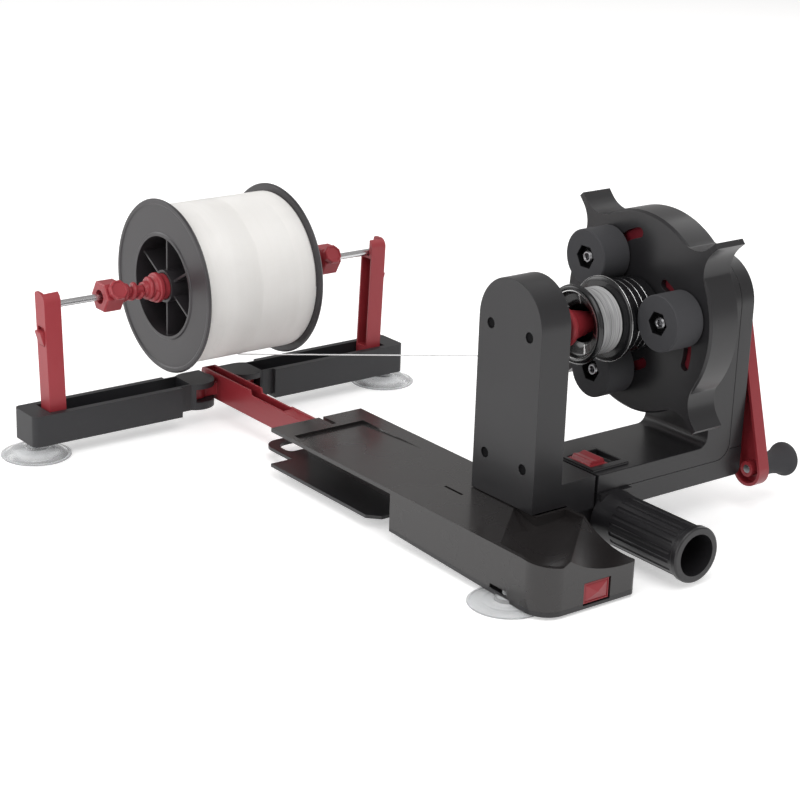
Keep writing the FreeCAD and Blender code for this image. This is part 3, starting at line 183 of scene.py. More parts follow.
def moulded_surface():
    """Moulded plastic: sparkle grain, soft cloudiness, fine dust, and the light scuffs of handling."""
    name = "Moulded surface"
    if name in bpy.data.node_groups:
        return bpy.data.node_groups[name]
    tree, given, result = new_group(
        name,
        [("Colour", "NodeSocketColor", (0.1, 0.1, 0.1, 1)), ("Scuff", "NodeSocketColor", (0.3, 0.3, 0.3, 1)),
         ("Grain scale", "NodeSocketFloat", 1800.0), ("Wear", "NodeSocketFloat", 0.1),
         ("Roughness", "NodeSocketFloat", 0.4), ("Unevenness", "NodeSocketFloat", 0.1)],
        [("Colour", "NodeSocketColor"), ("Roughness", "NodeSocketFloat"), ("Height", "NodeSocketFloat")])
    grain = noise(tree, given.outputs["Grain scale"], 3.0)
    cloud = noise(tree, 22.0, 3.0)
    dust = remap(tree, noise(tree, 900.0, 1.0), 0.70, 0.78)
    dust = math_node(tree, "MULTIPLY", dust, remap(tree, noise(tree, 35.0, 2.0), 0.45, 0.65))
    scuff = remap(tree, noise(tree, 130.0, 6.0), 0.62, 0.80)
    marks = math_node(tree, "MAXIMUM", math_node(tree, "MULTIPLY", dust, 0.6), scuff)
    marks = math_node(tree, "MULTIPLY", marks, given.outputs["Wear"])
    link(tree, mix_colour(tree, marks, given.outputs["Colour"], given.outputs["Scuff"]), result.inputs["Colour"])
    swing = math_node(tree, "MULTIPLY", math_node(tree, "SUBTRACT", cloud, 0.5), given.outputs["Unevenness"])
    rough = math_node(tree, "ADD", given.outputs["Roughness"], swing)
    rough = math_node(tree, "ADD", rough, math_node(tree, "MULTIPLY", marks, 0.3))
    link(tree, rough, result.inputs["Roughness"])
    link(tree, grain, result.inputs["Height"])
    return tree


def turned_surface():
    """Fine rings about an axis along Y through a centre: turned steel, flanges and reel parts."""
    name = "Turned surface"
    if name in bpy.data.node_groups:
        return bpy.data.node_groups[name]
    tree, given, result = new_group(
        name,
        [("Centre", "NodeSocketVector", (0.0, 0.0, 0.0)), ("Rings per metre", "NodeSocketFloat", 1500.0),
         ("Roughness", "NodeSocketFloat", 0.3), ("Unevenness", "NodeSocketFloat", 0.1)],
        [("Roughness", "NodeSocketFloat"), ("Height", "NodeSocketFloat")])
    coordinates = tree.nodes.new("ShaderNodeTexCoord").outputs["Object"]
    away = tree.nodes.new("ShaderNodeVectorMath")
    away.operation = "SUBTRACT"
    link(tree, coordinates, away.inputs[0])
    link(tree, given.outputs["Centre"], away.inputs[1])
    parts = tree.nodes.new("ShaderNodeSeparateXYZ")
    link(tree, away.outputs[0], parts.inputs[0])
    square = [math_node(tree, "MULTIPLY", parts.outputs[i], parts.outputs[i]) for i in (0, 2)]
    radius = math_node(tree, "SQRT", math_node(tree, "ADD", *square))
    along = math_node(tree, "ADD", radius, parts.outputs[1])
    line = tree.nodes.new("ShaderNodeCombineXYZ")
    link(tree, along, line.inputs[0])
    rings = noise(tree, given.outputs["Rings per metre"], 2.0, line.outputs[0])
    link(tree, rings, result.inputs["Height"])
    swing = math_node(tree, "MULTIPLY", math_node(tree, "SUBTRACT", rings, 0.5), given.outputs["Unevenness"])
    link(tree, math_node(tree, "ADD", given.outputs["Roughness"], swing), result.inputs["Roughness"])
    return tree


def wound_surface():
    """Line wound across Y: each turn a little lighter or darker, in soft bands, by mixing towards a shade colour:
    partly the turns' own random tone, partly painted shade between turns.
    """
    name = "Wound surface"
    if name in bpy.data.node_groups:
        return bpy.data.node_groups[name]
    tree, given, result = new_group(
        name,
        [("Colour", "NodeSocketColor", (0.9, 0.9, 0.9, 1)), ("Shade", "NodeSocketColor", (0.6, 0.6, 0.6, 1)),
         ("Turns per metre", "NodeSocketFloat", 1100.0), ("Contrast", "NodeSocketFloat", 0.4)],
        [("Colour", "NodeSocketColor"), ("Height", "NodeSocketFloat")])
    coordinates = tree.nodes.new("ShaderNodeTexCoord").outputs["Object"]
    parts = tree.nodes.new("ShaderNodeSeparateXYZ")
    link(tree, coordinates, parts.inputs[0])
    line = tree.nodes.new("ShaderNodeCombineXYZ")
    link(tree, parts.outputs[1], line.inputs[1])
    for i in (0, 2):
        link(tree, math_node(tree, "MULTIPLY", parts.outputs[i], 0.03), line.inputs[i])
    turns = noise(tree, given.outputs["Turns per metre"], 1.0, line.outputs[0])
    bands = noise(tree, 90.0, 3.0, line.outputs[0])
    both = math_node(
        tree, "ADD", math_node(tree, "MULTIPLY", turns, 0.45), math_node(tree, "MULTIPLY", bands, 0.55))
    dark = math_node(tree, "MULTIPLY", remap(tree, both, 0.36, 0.66, 1.0, 0.0), given.outputs["Contrast"])
    link(tree, mix_colour(tree, dark, given.outputs["Colour"], given.outputs["Shade"]), result.inputs["Colour"])
    link(tree, turns, result.inputs["Height"])
    return tree


# ---------------------------------------------------------------- materials
def new_material(name, **settings):
    """A material with only a Principled shader: (material, tree, shader). Settings are socket values."""
    material = bpy.data.materials.new(name)
    material.use_nodes = True
    tree = material.node_tree
    shader = tree.nodes["Principled BSDF"]
    for label, value in settings.items():
        shader.inputs[label.replace("_", " ")].default_value = value
    return material, tree, shader


def place_group(tree, group, **values):
    """A shader group placed in a material; values are its input numbers and colours."""
    node = tree.nodes.new("ShaderNodeGroup")
    node.node_tree = group
    for label, value in values.items():
        node.inputs[label.replace("_", " ")].default_value = value
    return node


def add_bump(tree, shader, height, strength, distance):
    """A bump node between a height and the shader's normal."""
    bump = tree.nodes.new("ShaderNodeBump")
    bump.inputs["Strength"].default_value = strength
    bump.inputs["Distance"].default_value = distance
    link(tree, height, bump.inputs["Height"])
    link(tree, bump.outputs["Normal"], shader.inputs["Normal"])


def opaque(rgb):
    """A colour with full alpha."""
    return (*rgb, 1.0)


def moulding(name, rgb, roughness, grain, wear, depth=0.15, unevenness=0.12, **settings):
    """Moulded plastic or rubber in one colour."""
    if name in bpy.data.materials:
        return bpy.data.materials[name]
    material, tree, shader = new_material(name, **settings)
    scuffed = opaque([min(1.0, channel * 1.5 + 0.05) for channel in rgb])
    surface = place_group(
        tree, moulded_surface(), Colour=opaque(rgb), Scuff=scuffed, Grain_scale=grain, Wear=wear,
        Roughness=roughness, Unevenness=unevenness)
    link(tree, surface.outputs["Colour"], shader.inputs["Base Color"])
    link(tree, surface.outputs["Roughness"], shader.inputs["Roughness"])
    add_bump(tree, shader, surface.outputs["Height"], depth, 0.08 * MM)
    return material


def turned_metal(name, rgb, roughness, centre, rings=1500.0, metallic=1.0, **settings):
    """Metal or plastic with fine turning rings about a centre."""
    if name in bpy.data.materials:
        return bpy.data.materials[name]
    material, tree, shader = new_material(name, Metallic=metallic, Base_Color=opaque(rgb), **settings)
    surface = place_group(tree, turned_surface(), Centre=centre, Rings_per_metre=rings, Roughness=roughness)
    link(tree, surface.outputs["Roughness"], shader.inputs["Roughness"])
    add_bump(tree, shader, surface.outputs["Height"], 0.15, 0.03 * MM)
    return material


def wound_nylon(name, rgb, shade, pitch, contrast, glow):
    """Clear nylon line in many turns: milky, silky, a little see-through."""
    if name in bpy.data.materials:
        return bpy.data.materials[name]
    material, tree, shader = new_material(
        name, Roughness=0.35, Subsurface_Weight=0.15, Subsurface_Scale=glow, Subsurface_Radius=(1.0, 0.97, 0.92),
        Coat_Weight=0.1, Coat_Roughness=0.25, IOR=1.5)
    surface = place_group(
        tree, wound_surface(), Colour=opaque(rgb), Shade=opaque(shade), Turns_per_metre=0.8 / pitch,
        Contrast=contrast)
    link(tree, surface.outputs["Colour"], shader.inputs["Base Color"])
    add_bump(tree, shader, surface.outputs["Height"], 0.2, 0.1 * MM)
    return material


def gloss_black():
    return moulding(
        "gloss black", finish().black, 0.34, 2600.0, 0.02, 0.08, Specular_IOR_Level=0.40, Coat_Weight=0.12,
        Coat_Roughness=0.2)


def deck_black():
    return moulding(
        "deck black", finish().deck, 0.27, 2600.0, 0.012, 0.06, Specular_IOR_Level=0.42, Coat_Weight=0.3,
        Coat_Roughness=0.12)


def charcoal():
    return moulding("charcoal satin", finish().charcoal, 0.45, 1500.0, 0.08, 0.22, Specular_IOR_Level=0.42)


def red():
    return moulding(
        "red plastic", finish().red, 0.36, 2200.0, 0.04, 0.10, Specular_IOR_Level=0.42, Coat_Weight=0.12,
        Coat_Roughness=0.2)


# A red darkened as painted shade, for the jaw guide plate that lies in shadow behind slots.
def painted_shade_red():
    return moulding("deep red plastic", (0.15, 0.012, 0.020), 0.45, 2200.0, 0.04, 0.10, Specular_IOR_Level=0.3)


def crimson():
    return moulding("crimson plastic", finish().crimson, 0.42, 1800.0, 0.05, 0.15, Specular_IOR_Level=0.45)


def rubber():
    return moulding("rubber", finish().rubber, 0.55, 1300.0, 0.10, 0.25, Specular_IOR_Level=0.38)


def reel_black():
    return moulding(
        "reel black", (0.008, 0.008, 0.009), 0.24, 3000.0, 0.03, 0.04, Specular_IOR_Level=0.4,
        Coat_Weight=0.25)


# Near-black painted shade for hollows: the rollers' recesses and the tail's screw holes.
def shadow_black():
    return moulding("inner black", (0.003, 0.003, 0.0035), 0.7, 1500.0, 0.02, Specular_IOR_Level=0.1)


def steel(node="spool_rod"):
    low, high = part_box(node)
    return turned_metal(f"steel of {node}", (0.60, 0.60, 0.61), 0.24, tuple((low + high) / 2))


def dark_steel(node):
    low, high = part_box(node)
    return turned_metal(f"dark steel of {node}", (0.30, 0.30, 0.31), 0.30, tuple((low + high) / 2))


# Bright metal painted on the reel spool as highlights and reflections: the rings on its lip, skirt and flange rim,
# and its spokes.
def painted_highlight_metal():
    low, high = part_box("reel_spool")
    return turned_metal("bright trim", (0.62, 0.62, 0.62), 0.22, tuple((low + high) / 2), 4000.0)


def bronze():
    low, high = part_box("tail_bush")
    return turned_metal("bronze", (0.50, 0.33, 0.16), 0.32, tuple((low + high) / 2))


def clear_plastic():
    """Soft clear plastic of the suction cups."""
    name = "clear soft plastic"
    if name in bpy.data.materials:
        return bpy.data.materials[name]
    material, tree, shader = new_material(
        name, Transmission_Weight=0.80, IOR=1.40, Coat_Weight=0.2, Coat_Roughness=0.1)
    surface = place_group(
        tree, moulded_surface(), Colour=opaque(finish().cup), Scuff=(1, 1, 1, 1), Grain_scale=500.0, Wear=0.3,
        Roughness=0.22, Unevenness=0.15)
    link(tree, surface.outputs["Colour"], shader.inputs["Base Color"])
    link(tree, surface.outputs["Roughness"], shader.inputs["Roughness"])
    add_bump(tree, shader, surface.outputs["Height"], 0.1, 0.1 * MM)
    return material


def free_line_nylon():
    """The single free line: bright, since light runs along it."""
    name = "free line"
    if name in bpy.data.materials:
        return bpy.data.materials[name]
    material, tree, shader = new_material(
        name, Roughness=0.25, Transmission_Weight=0.2, IOR=1.5, Coat_Weight=0.3)
    shimmer = remap(tree, noise(tree, 160.0, 2.0), 0.3, 0.7, 0.0, 1.0)
    link(tree, mix_colour(tree, shimmer, (0.84, 0.84, 0.85, 1), (0.96, 0.96, 0.96, 1)), shader.inputs["Base Color"])
    return material


def sizes():
    """The size properties of the scene."""
    return bpy.context.scene.winder_sizes


def finish():
    """The finish properties of the scene."""
    return bpy.context.scene.winder_finish


# ---------------------------------------------------------------- meshes
def shade(mesh, angle=32.0):
    """Smooth shading that breaks at edges sharper than an angle in degrees."""
    mesh.polygons.foreach_set("use_smooth", [True] * len(mesh.polygons))
    mesh.set_sharp_from_angle(angle=math.radians(angle))
    mesh.update()
    return mesh


def from_bmesh(bm, name):
    """A mesh from a bmesh, with doubles merged and normals outwards."""
    bmesh.ops.remove_doubles(bm, verts=bm.verts, dist=1e-6)
    bmesh.ops.recalc_face_normals(bm, faces=bm.faces)
    mesh = bpy.data.meshes.new(name)
    bm.to_mesh(mesh)
    bm.free()
    return mesh


def add_piece(name, mesh, material, body, replaces=()):
    """Puts a finished mesh in the scene: its material, the body it rides on and what it stands for."""
    piece = bpy.data.objects.new(name, mesh)
    bpy.context.scene.collection.objects.link(piece)
    if material is not None:
        mesh.materials.clear()
        mesh.materials.append(material)
    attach(piece, body)
    if replaces:
        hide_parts(*([replaces] if isinstance(replaces, str) else replaces))
    return piece


def dress_node(node, material):
    """Gives a CAD node that stays as it is a material of its own."""
    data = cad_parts[node].data
    data.materials.clear()
    data.materials.append(material)


def softened(node, width, segments=2, crease=30.0):
    """A copy of a CAD node's mesh with whole flat faces and rounded edges."""
    bm = bmesh.new()
    bm.from_mesh(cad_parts[node].data)
    bmesh.ops.remove_doubles(bm, verts=bm.verts, dist=2e-6)
    bmesh.ops.dissolve_limit(
        bm, angle_limit=math.radians(0.6), verts=bm.verts, edges=bm.edges, use_dissolve_boundaries=False)
    hard = [e for e in bm.edges if len(e.link_faces) == 2 and e.calc_face_angle(0.0) > math.radians(crease)]
    bmesh.ops.bevel(
        bm, geom=hard, offset=width, offset_type="OFFSET", segments=segments, profile=0.5, affect="EDGES",
        clamp_overlap=True, loop_slide=True)
    bmesh.ops.remove_doubles(bm, verts=bm.verts, dist=1e-6)
    mesh = bpy.data.meshes.new(node + "_soft")
    bm.to_mesh(mesh)
    bm.free()
    return shade(mesh, 40.0)


def soften_piece(node, material, body, width=None, name=None, segments=2):
    """Replaces a CAD node with its own shape, edges rounded and shading evened."""
    width = sizes().edge if width is None else width
    piece = add_piece(name or node + "_moulding", softened(node, width, segments), material, body, node)
    even = piece.modifiers.new("Even shading", "WEIGHTED_NORMAL")
    even.keep_sharp = True
    return piece


def rounded_path(points, steps=5):
    """A path whose corners with a third value are rounded to about that radius."""
    path = []
    for i, point in enumerate(points):
        here = Vector(point[:2])
        radius = point[2] if len(point) > 2 else 0.0
        if not radius or i in (0, len(points) - 1):
            path.append(here)
            continue
        before, after = Vector(points[i - 1][:2]), Vector(points[i + 1][:2])
        start = here + (before - here).normalized() * min(radius, (before - here).length * 0.49)
        end = here + (after - here).normalized() * min(radius, (after - here).length * 0.49)
        for k in range(steps + 1):
            t = k / steps
            path.append(start * (1 - t) ** 2 + here * 2 * t * (1 - t) + end * t * t)
    return path


def side_vectors(axis):
    """Two directions square to an axis, right-handed with it."""
    along = AXES[axis] if isinstance(axis, str) else Vector(axis).normalized()
    first = Vector((0, 0, 1)) if abs(along.z) < 0.9 else Vector((1, 0, 0))
    first = (first - along * first.dot(along)).normalized()
    return along, first, along.cross(first)


def lathe(name, profile, axis, centre, steps=96, sides=0, turn=0.0):
    """Turns a profile of (radius, place along the axis) in millimetres about an axis through a centre.

    With sides, each ring is a polygon of that many sides instead of a circle.
    """
    along, first, second = side_vectors(axis)
    bm = bmesh.new()
    rings = []
    for radius, place in rounded_path(profile):
        if radius < 1e-4:
            rings.append([bm.verts.new(centre + along * place * MM)])
            continue
        ring = []
        for k in range(steps):
            angle = 2 * math.pi * k / steps
            reach = radius
            if sides:
                slice_angle = 2 * math.pi / sides
                reach = radius * math.cos(slice_angle / 2) / math.cos(angle % slice_angle - slice_angle / 2)
            turned = angle + math.radians(turn)
            side = first * math.cos(turned) + second * math.sin(turned)
            ring.append(bm.verts.new(centre + along * place * MM + side * reach * MM))
        rings.append(ring)
    for one, other in zip(rings, rings[1:]):
        bridge(bm, one, other)
    for ring in (rings[0], rings[-1]):
        if len(ring) > 1 and not same_place(rings[0], rings[-1]):
            bm.faces.new(ring)
    return shade(from_bmesh(bm, name))


def same_place(one, other):
    """Whether two rings of vertices lie in one place, as when a profile is closed."""
    return len(one) == len(other) and (one[0].co - other[0].co).length < 1e-7


def bridge(bm, one, other):
    """Faces between two rings of vertices, either of which may be a single point."""
    if len(one) == 1 and len(other) == 1:
        return
    count = max(len(one), len(other))
    for k in range(count):
        a = one[k % len(one)]
        b = one[(k + 1) % len(one)]
        c = other[(k + 1) % len(other)]
        d = other[k % len(other)]
        corners = [v for i, v in enumerate((a, b, c, d)) if v not in (a, b, c, d)[:i]]
        if len(corners) > 2:
            bm.faces.new(corners)


# ---------------------------------------------------------------- geometry node trees
def new_tree(name, inputs):
    """An empty geometry node tree with named inputs: (tree, inputs node, outputs node)."""
    tree = bpy.data.node_groups.new(name, "GeometryNodeTree")
    tree.interface.new_socket("Geometry", in_out="OUTPUT", socket_type="NodeSocketGeometry")
    for label, kind in inputs:
        tree.interface.new_socket(label, in_out="INPUT", socket_type=kind)
    return tree, tree.nodes.new("NodeGroupInput"), tree.nodes.new("NodeGroupOutput")


def end_tree(tree, given, result, geometry):
    """Ends a tree in Realize Instances and Set Material."""
    realize = tree.nodes.new("GeometryNodeRealizeInstances")
    link(tree, geometry, realize.inputs[0])
    smooth = tree.nodes.new("GeometryNodeSetShadeSmooth")
    link(tree, realize.outputs[0], smooth.inputs["Geometry"])
    paint = tree.nodes.new("GeometryNodeSetMaterial")
    link(tree, smooth.outputs[0], paint.inputs["Geometry"])
    link(tree, given.outputs["Material"], paint.inputs["Material"])
    link(tree, paint.outputs[0], result.inputs[0])


def coil_tree():
    """A round wire wound in a helix: springs, and the outer turns of the windings."""
    name = "Coil"
    if name in bpy.data.node_groups:
        return bpy.data.node_groups[name]
    tree, given, result = new_tree(name, [
        ("Radius", "NodeSocketFloat"), ("End radius", "NodeSocketFloat"), ("Height", "NodeSocketFloat"),
        ("Turns", "NodeSocketFloat"),
        ("Wire", "NodeSocketFloat"), ("Steps", "NodeSocketInt"), ("Facets", "NodeSocketInt"),
        ("Turn", "NodeSocketVector"), ("Start", "NodeSocketVector"), ("Material", "NodeSocketMaterial")])
    helix = tree.nodes.new("GeometryNodeCurveSpiral")
    link(tree, given.outputs["Steps"], helix.inputs["Resolution"])
    link(tree, given.outputs["Turns"], helix.inputs["Rotations"])
    link(tree, given.outputs["Radius"], helix.inputs["Start Radius"])
    link(tree, given.outputs["End radius"], helix.inputs["End Radius"])
    link(tree, given.outputs["Height"], helix.inputs["Height"])
    section = tree.nodes.new("GeometryNodeCurvePrimitiveCircle")
    link(tree, given.outputs["Facets"], section.inputs["Resolution"])
    link(tree, given.outputs["Wire"], section.inputs["Radius"])
    tube = tree.nodes.new("GeometryNodeCurveToMesh")
    link(tree, helix.outputs[0], tube.inputs["Curve"])
    link(tree, section.outputs[0], tube.inputs["Profile Curve"])
    tube.inputs["Fill Caps"].default_value = True
    place = tree.nodes.new("GeometryNodeTransform")
    link(tree, tube.outputs[0], place.inputs["Geometry"])
    link(tree, given.outputs["Turn"], place.inputs["Rotation"])
    link(tree, given.outputs["Start"], place.inputs["Translation"])
    end_tree(tree, given, result, place.outputs[0])
    return tree


def copies_tree():
    """Copies of one small mesh, each a step and a turn about the start from the last."""
    name = "Copies"
    if name in bpy.data.node_groups:
        return bpy.data.node_groups[name]
    tree, given, result = new_tree(name, [
        ("Shape", "NodeSocketObject"), ("Count", "NodeSocketInt"), ("Step", "NodeSocketVector"),
        ("Turn", "NodeSocketVector"), ("Start", "NodeSocketVector"), ("Material", "NodeSocketMaterial")])
    points = tree.nodes.new("GeometryNodePoints")
    index = tree.nodes.new("GeometryNodeInputIndex").outputs[0]

    def times(vector):
        scaled = tree.nodes.new("ShaderNodeVectorMath")
        scaled.operation = "SCALE"
        link(tree, given.outputs[vector], scaled.inputs[0])
        link(tree, index, scaled.inputs["Scale"])
        return scaled.outputs[0]

    link(tree, given.outputs["Count"], points.inputs["Count"])
    link(tree, times("Step"), points.inputs["Position"])
    shape = tree.nodes.new("GeometryNodeObjectInfo")
    link(tree, given.outputs["Shape"], shape.inputs["Object"])
    copies = tree.nodes.new("GeometryNodeInstanceOnPoints")
    link(tree, points.outputs[0], copies.inputs["Points"])
    link(tree, shape.outputs["Geometry"], copies.inputs["Instance"])
    link(tree, times("Turn"), copies.inputs["Rotation"])
    place = tree.nodes.new("GeometryNodeTransform")
    link(tree, copies.outputs[0], place.inputs["Geometry"])
    link(tree, given.outputs["Start"], place.inputs["Translation"])
    end_tree(tree, given, result, place.outputs[0])
    return tree


def run_tree(name, tree, **values):
    """The plain mesh that a tree makes with these inputs."""
    holder = bpy.data.objects.new(name, bpy.data.meshes.new(name))
    bpy.context.scene.collection.objects.link(holder)
    modifier = holder.modifiers.new("Nodes", "NODES")
    modifier.node_group = tree
    for item in tree.interface.items_tree:
        if item.in_out == "INPUT":
            modifier[item.identifier] = values[item.name.replace(" ", "_")]
    bpy.context.view_layer.update()
    made = bpy.data.meshes.new_from_object(holder.evaluated_get(bpy.context.evaluated_depsgraph_get()))
    holder.modifiers.clear()
    bpy.data.objects.remove(holder)
    return made


def coil(name, radius, height, turns, wire, start, turn, material, steps=40, facets=8, end_radius=None):
    """A helix mesh; lengths are millimetres, start is in metres and turn an Euler rotation from +Z."""
    end_radius = radius if end_radius is None else end_radius
    return run_tree(
        name, coil_tree(), Radius=radius * MM, End_radius=end_radius * MM, Height=height * MM, Turns=float(turns),
        Wire=wire * MM, Steps=steps, Facets=facets, Turn=turn, Start=tuple(start), Material=material)


def copies(name, shape_mesh, count, material, step=(0, 0, 0), turn=(0, 0, 0), start=(0, 0, 0)):
    """Repeats a small mesh through the copies tree."""
    source = bpy.data.objects.new(name + "_source", shape_mesh)
    bpy.context.scene.collection.objects.link(source)
    made = run_tree(
        name, copies_tree(), Shape=source, Count=count, Step=step, Turn=turn, Start=tuple(start),
        Material=material)
    bpy.data.objects.remove(source)
    return shade(made)


def centre_of(node):
    """The middle of a node's box."""
    low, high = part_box(node)
    return (low + high) / 2


def on_axis(node, place=None):
    """A point on a node's own Y axis, at its middle or at a place along Y in metres."""
    middle = centre_of(node)
    return Vector((middle.x, middle.y if place is None else place, middle.z))


# ---------------------------------------------------------------- stage
CAMERA_PLACE = Vector((1.0768, -0.8410, 0.5382))
CAMERA_RIGHT = Vector((0.6067, 0.7943, 0.0328))
CAMERA_UP = Vector((-0.2813, 0.1759, 0.9433))
CAMERA_LENS = 94.3
LAMPS = [
    # name, place, size, watts
    ("high soft box", (0.9, -0.35, 1.75), 1.5, 17.0),
    ("front soft box", (0.5, -2.0, 0.9), 1.3, 15.0),
    ("left soft box", (-1.7, -0.9, 0.9), 1.2, 12.0),
    ("back strip", (-0.3, 1.9, 1.0), 1.1, 10.0),
    ("right strip", (1.9, 0.6, 0.7), 0.9, 2.0),
]
LAMP_TARGET = Vector((0.0, 0.0, 0.06))


def aim(thing, target):
    """Turns a lamp or camera to face a point."""
    thing.rotation_euler = (target - thing.location).to_track_quat("-Z", "Y").to_euler()


def floor_material():
    """A pale floor that keeps the object's shadow and reads as white to the camera and in gloss."""
    material = bpy.data.materials.new("pale floor")
    material.use_nodes = True
    tree = material.node_tree
    tree.nodes.clear()
    diffuse = tree.nodes.new("ShaderNodeBsdfDiffuse")
    tint = mix_colour(tree, noise(tree, 3.0, 2.0), (0.88, 0.88, 0.88, 1), (0.90, 0.90, 0.90, 1))
    link(tree, tint, diffuse.inputs["Color"])
    rays = tree.nodes.new("ShaderNodeLightPath").outputs
    seen = math_node(tree, "MAXIMUM", rays["Is Camera Ray"], rays["Is Glossy Ray"])
    seen = math_node(tree, "MAXIMUM", seen, rays["Is Transmission Ray"])
    glow = tree.nodes.new("ShaderNodeEmission")
    link(tree, math_node(tree, "MULTIPLY", seen, 0.42), glow.inputs["Strength"])
    both = tree.nodes.new("ShaderNodeAddShader")
    link(tree, diffuse.outputs[0], both.inputs[0])
    link(tree, glow.outputs[0], both.inputs[1])
    out = tree.nodes.new("ShaderNodeOutputMaterial")
    link(tree, both.outputs[0], out.inputs[0])
    return material


class WINDER_OT_stage(bpy.types.Operator):
    """Makes the camera, the pale floor, the lamps and the world"""
    bl_idname = "winder.stage"
    bl_label = "Stage"

    def execute(self, context):
        scene = context.scene
        scene.view_settings.view_transform = "Standard"
        camera = bpy.data.objects.new("camera", bpy.data.cameras.new("camera"))
        camera.data.lens = CAMERA_LENS
        camera.data.sensor_width = 36.0
        camera.data.clip_start, camera.data.clip_end = 0.05, 20.0
        back = CAMERA_RIGHT.cross(CAMERA_UP)
        turned = Matrix((CAMERA_RIGHT, CAMERA_UP, back)).transposed()
        camera.matrix_world = Matrix.Translation(CAMERA_PLACE) @ turned.to_4x4()
        scene.collection.objects.link(camera)
        scene.camera = camera
        bm = bmesh.new()
        bmesh.ops.create_grid(bm, x_segments=1, y_segments=1, size=6.0)
        floor = bpy.data.objects.new("floor", from_bmesh(bm, "floor"))
        floor.location.z = -0.0004
        floor.data.materials.append(floor_material())
        scene.collection.objects.link(floor)
        for name, place, size, watts in LAMPS:
            lamp = bpy.data.objects.new(name, bpy.data.lights.new(name, "AREA"))
            lamp.data.size = size
            lamp.data.energy = watts
            lamp.location = place
            aim(lamp, LAMP_TARGET)
            scene.collection.objects.link(lamp)
        world = bpy.data.worlds.new("studio")
        scene.world = world
        world.use_nodes = True
        tree = world.node_tree
        rays = tree.nodes.new("ShaderNodeLightPath").outputs
        plain = tree.nodes["Background"]
        plain.inputs["Color"].default_value = (1.0, 0.985, 0.975, 1)
        strength = remap(tree, rays["Is Camera Ray"], 0.0, 1.0, 0.46, 1.0)
        link(tree, strength, plain.inputs["Strength"])
        return {"FINISHED"}


# ---------------------------------------------------------------- free line
def tube(name, points, radius, facets=8):
    """A round tube along points, with closed ends."""
    bm = bmesh.new()
    rings = []
    for i, point in enumerate(points):
        ahead = (points[min(i + 1, len(points) - 1)] - points[max(i - 1, 0)]).normalized()
        along, first, second = side_vectors(ahead)
        rings.append([
            bm.verts.new(point + (first * math.cos(a) + second * math.sin(a)) * radius)
            for a in (2 * math.pi * k / facets for k in range(facets))])
    for one, other in zip(rings, rings[1:]):
        bridge(bm, one, other)
    bm.faces.new(rings[0])
    bm.faces.new(rings[-1])
    return shade(from_bmesh(bm, name))


class WINDER_OT_line(bpy.types.Operator):
    """Makes the taut line that runs from under the bulk spool to under the reel spool"""
    bl_idname = "winder.line"
    bl_label = "Free line"

    def execute(self, context):
        low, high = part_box("line_run")
        thick = sizes().line
        lean = thick / 2
        start = Vector((low.x, low.y + lean, low.z + lean))
        end = Vector((high.x, high.y - lean, high.z - lean))
        lead = (end - start).normalized() * thick * 6
        route = [start, start + lead, end - lead, end]
        curve = bpy.data.curves.new("line_route", "CURVE")
        curve.dimensions = "3D"
        spline = curve.splines.new("NURBS")
        spline.points.add(len(route) - 1)
        for point, place in zip(spline.points, route):
            point.co = (*place, 1.0)
        spline.order_u = 3
        spline.use_endpoint_u = True
        spline.resolution_u = 24
        holder = bpy.data.objects.new("line_route", curve)
        context.scene.collection.objects.link(holder)
        context.view_layer.update()
        read = bpy.data.meshes.new_from_object(holder.evaluated_get(context.evaluated_depsgraph_get()))
        points = [vertex.co.copy() for vertex in read.vertices]
        bpy.data.objects.remove(holder)
        bpy.data.meshes.remove(read)
        piece = bpy.data.objects.new("free_line", tube("free_line", points, thick / 2))
        context.scene.collection.objects.link(piece)
        piece.data.materials.append(free_line_nylon())
        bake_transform(piece)
        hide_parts("line_run")
        return {"FINISHED"}


# ---------------------------------------------------------------- base
def suction_cup(node, body, dome):
    """A clear suction cup: thin rim with a bead, stepped dome with moulded rings, and its stem."""
    low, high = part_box(node)
    rim = (high.x - low.x) / 2 / MM
    top = high.z / MM
    crown = dome / MM
    tall = crown > 6
    stem = 4.0 if tall else 3.0
    skirt = crown - 2.1 if tall else 1.7
    step = crown - 1.2 if tall else 2.3
    centre = Vector(((low.x + high.x) / 2, (low.y + high.y) / 2, 0.0))
    profile = [
        (0, crown - 2.4), (6, crown - 2.6, 2), (9, skirt - 0.9, 2), (rim - 6, 0.4, 4), (rim - 1.2, 0.0, 0.3),
        (rim, 0.0, 0.2), (rim, 0.75, 0.3), (rim - 1.8, 1.0, 0.4), (rim - 2.2, 0.8, 0.3), (rim - 7, skirt - 0.6, 2),
        (rim - 10, skirt, 0.5), (rim - 11, skirt - 0.1, 0.4), (8.6, step - 0.2, 0.5), (8.0, step, 0.3),
        (7.6, crown - 0.3, 0.3), (7.0, crown, 0.4), (stem, crown, 0.5), (stem, top - 0.4, 0.3),
        (stem - 0.4, top), (0, top)]
    cup = lathe(node, profile, "Z", centre)
    return add_piece(node + "_moulding", cup, clear_plastic(), body, node)


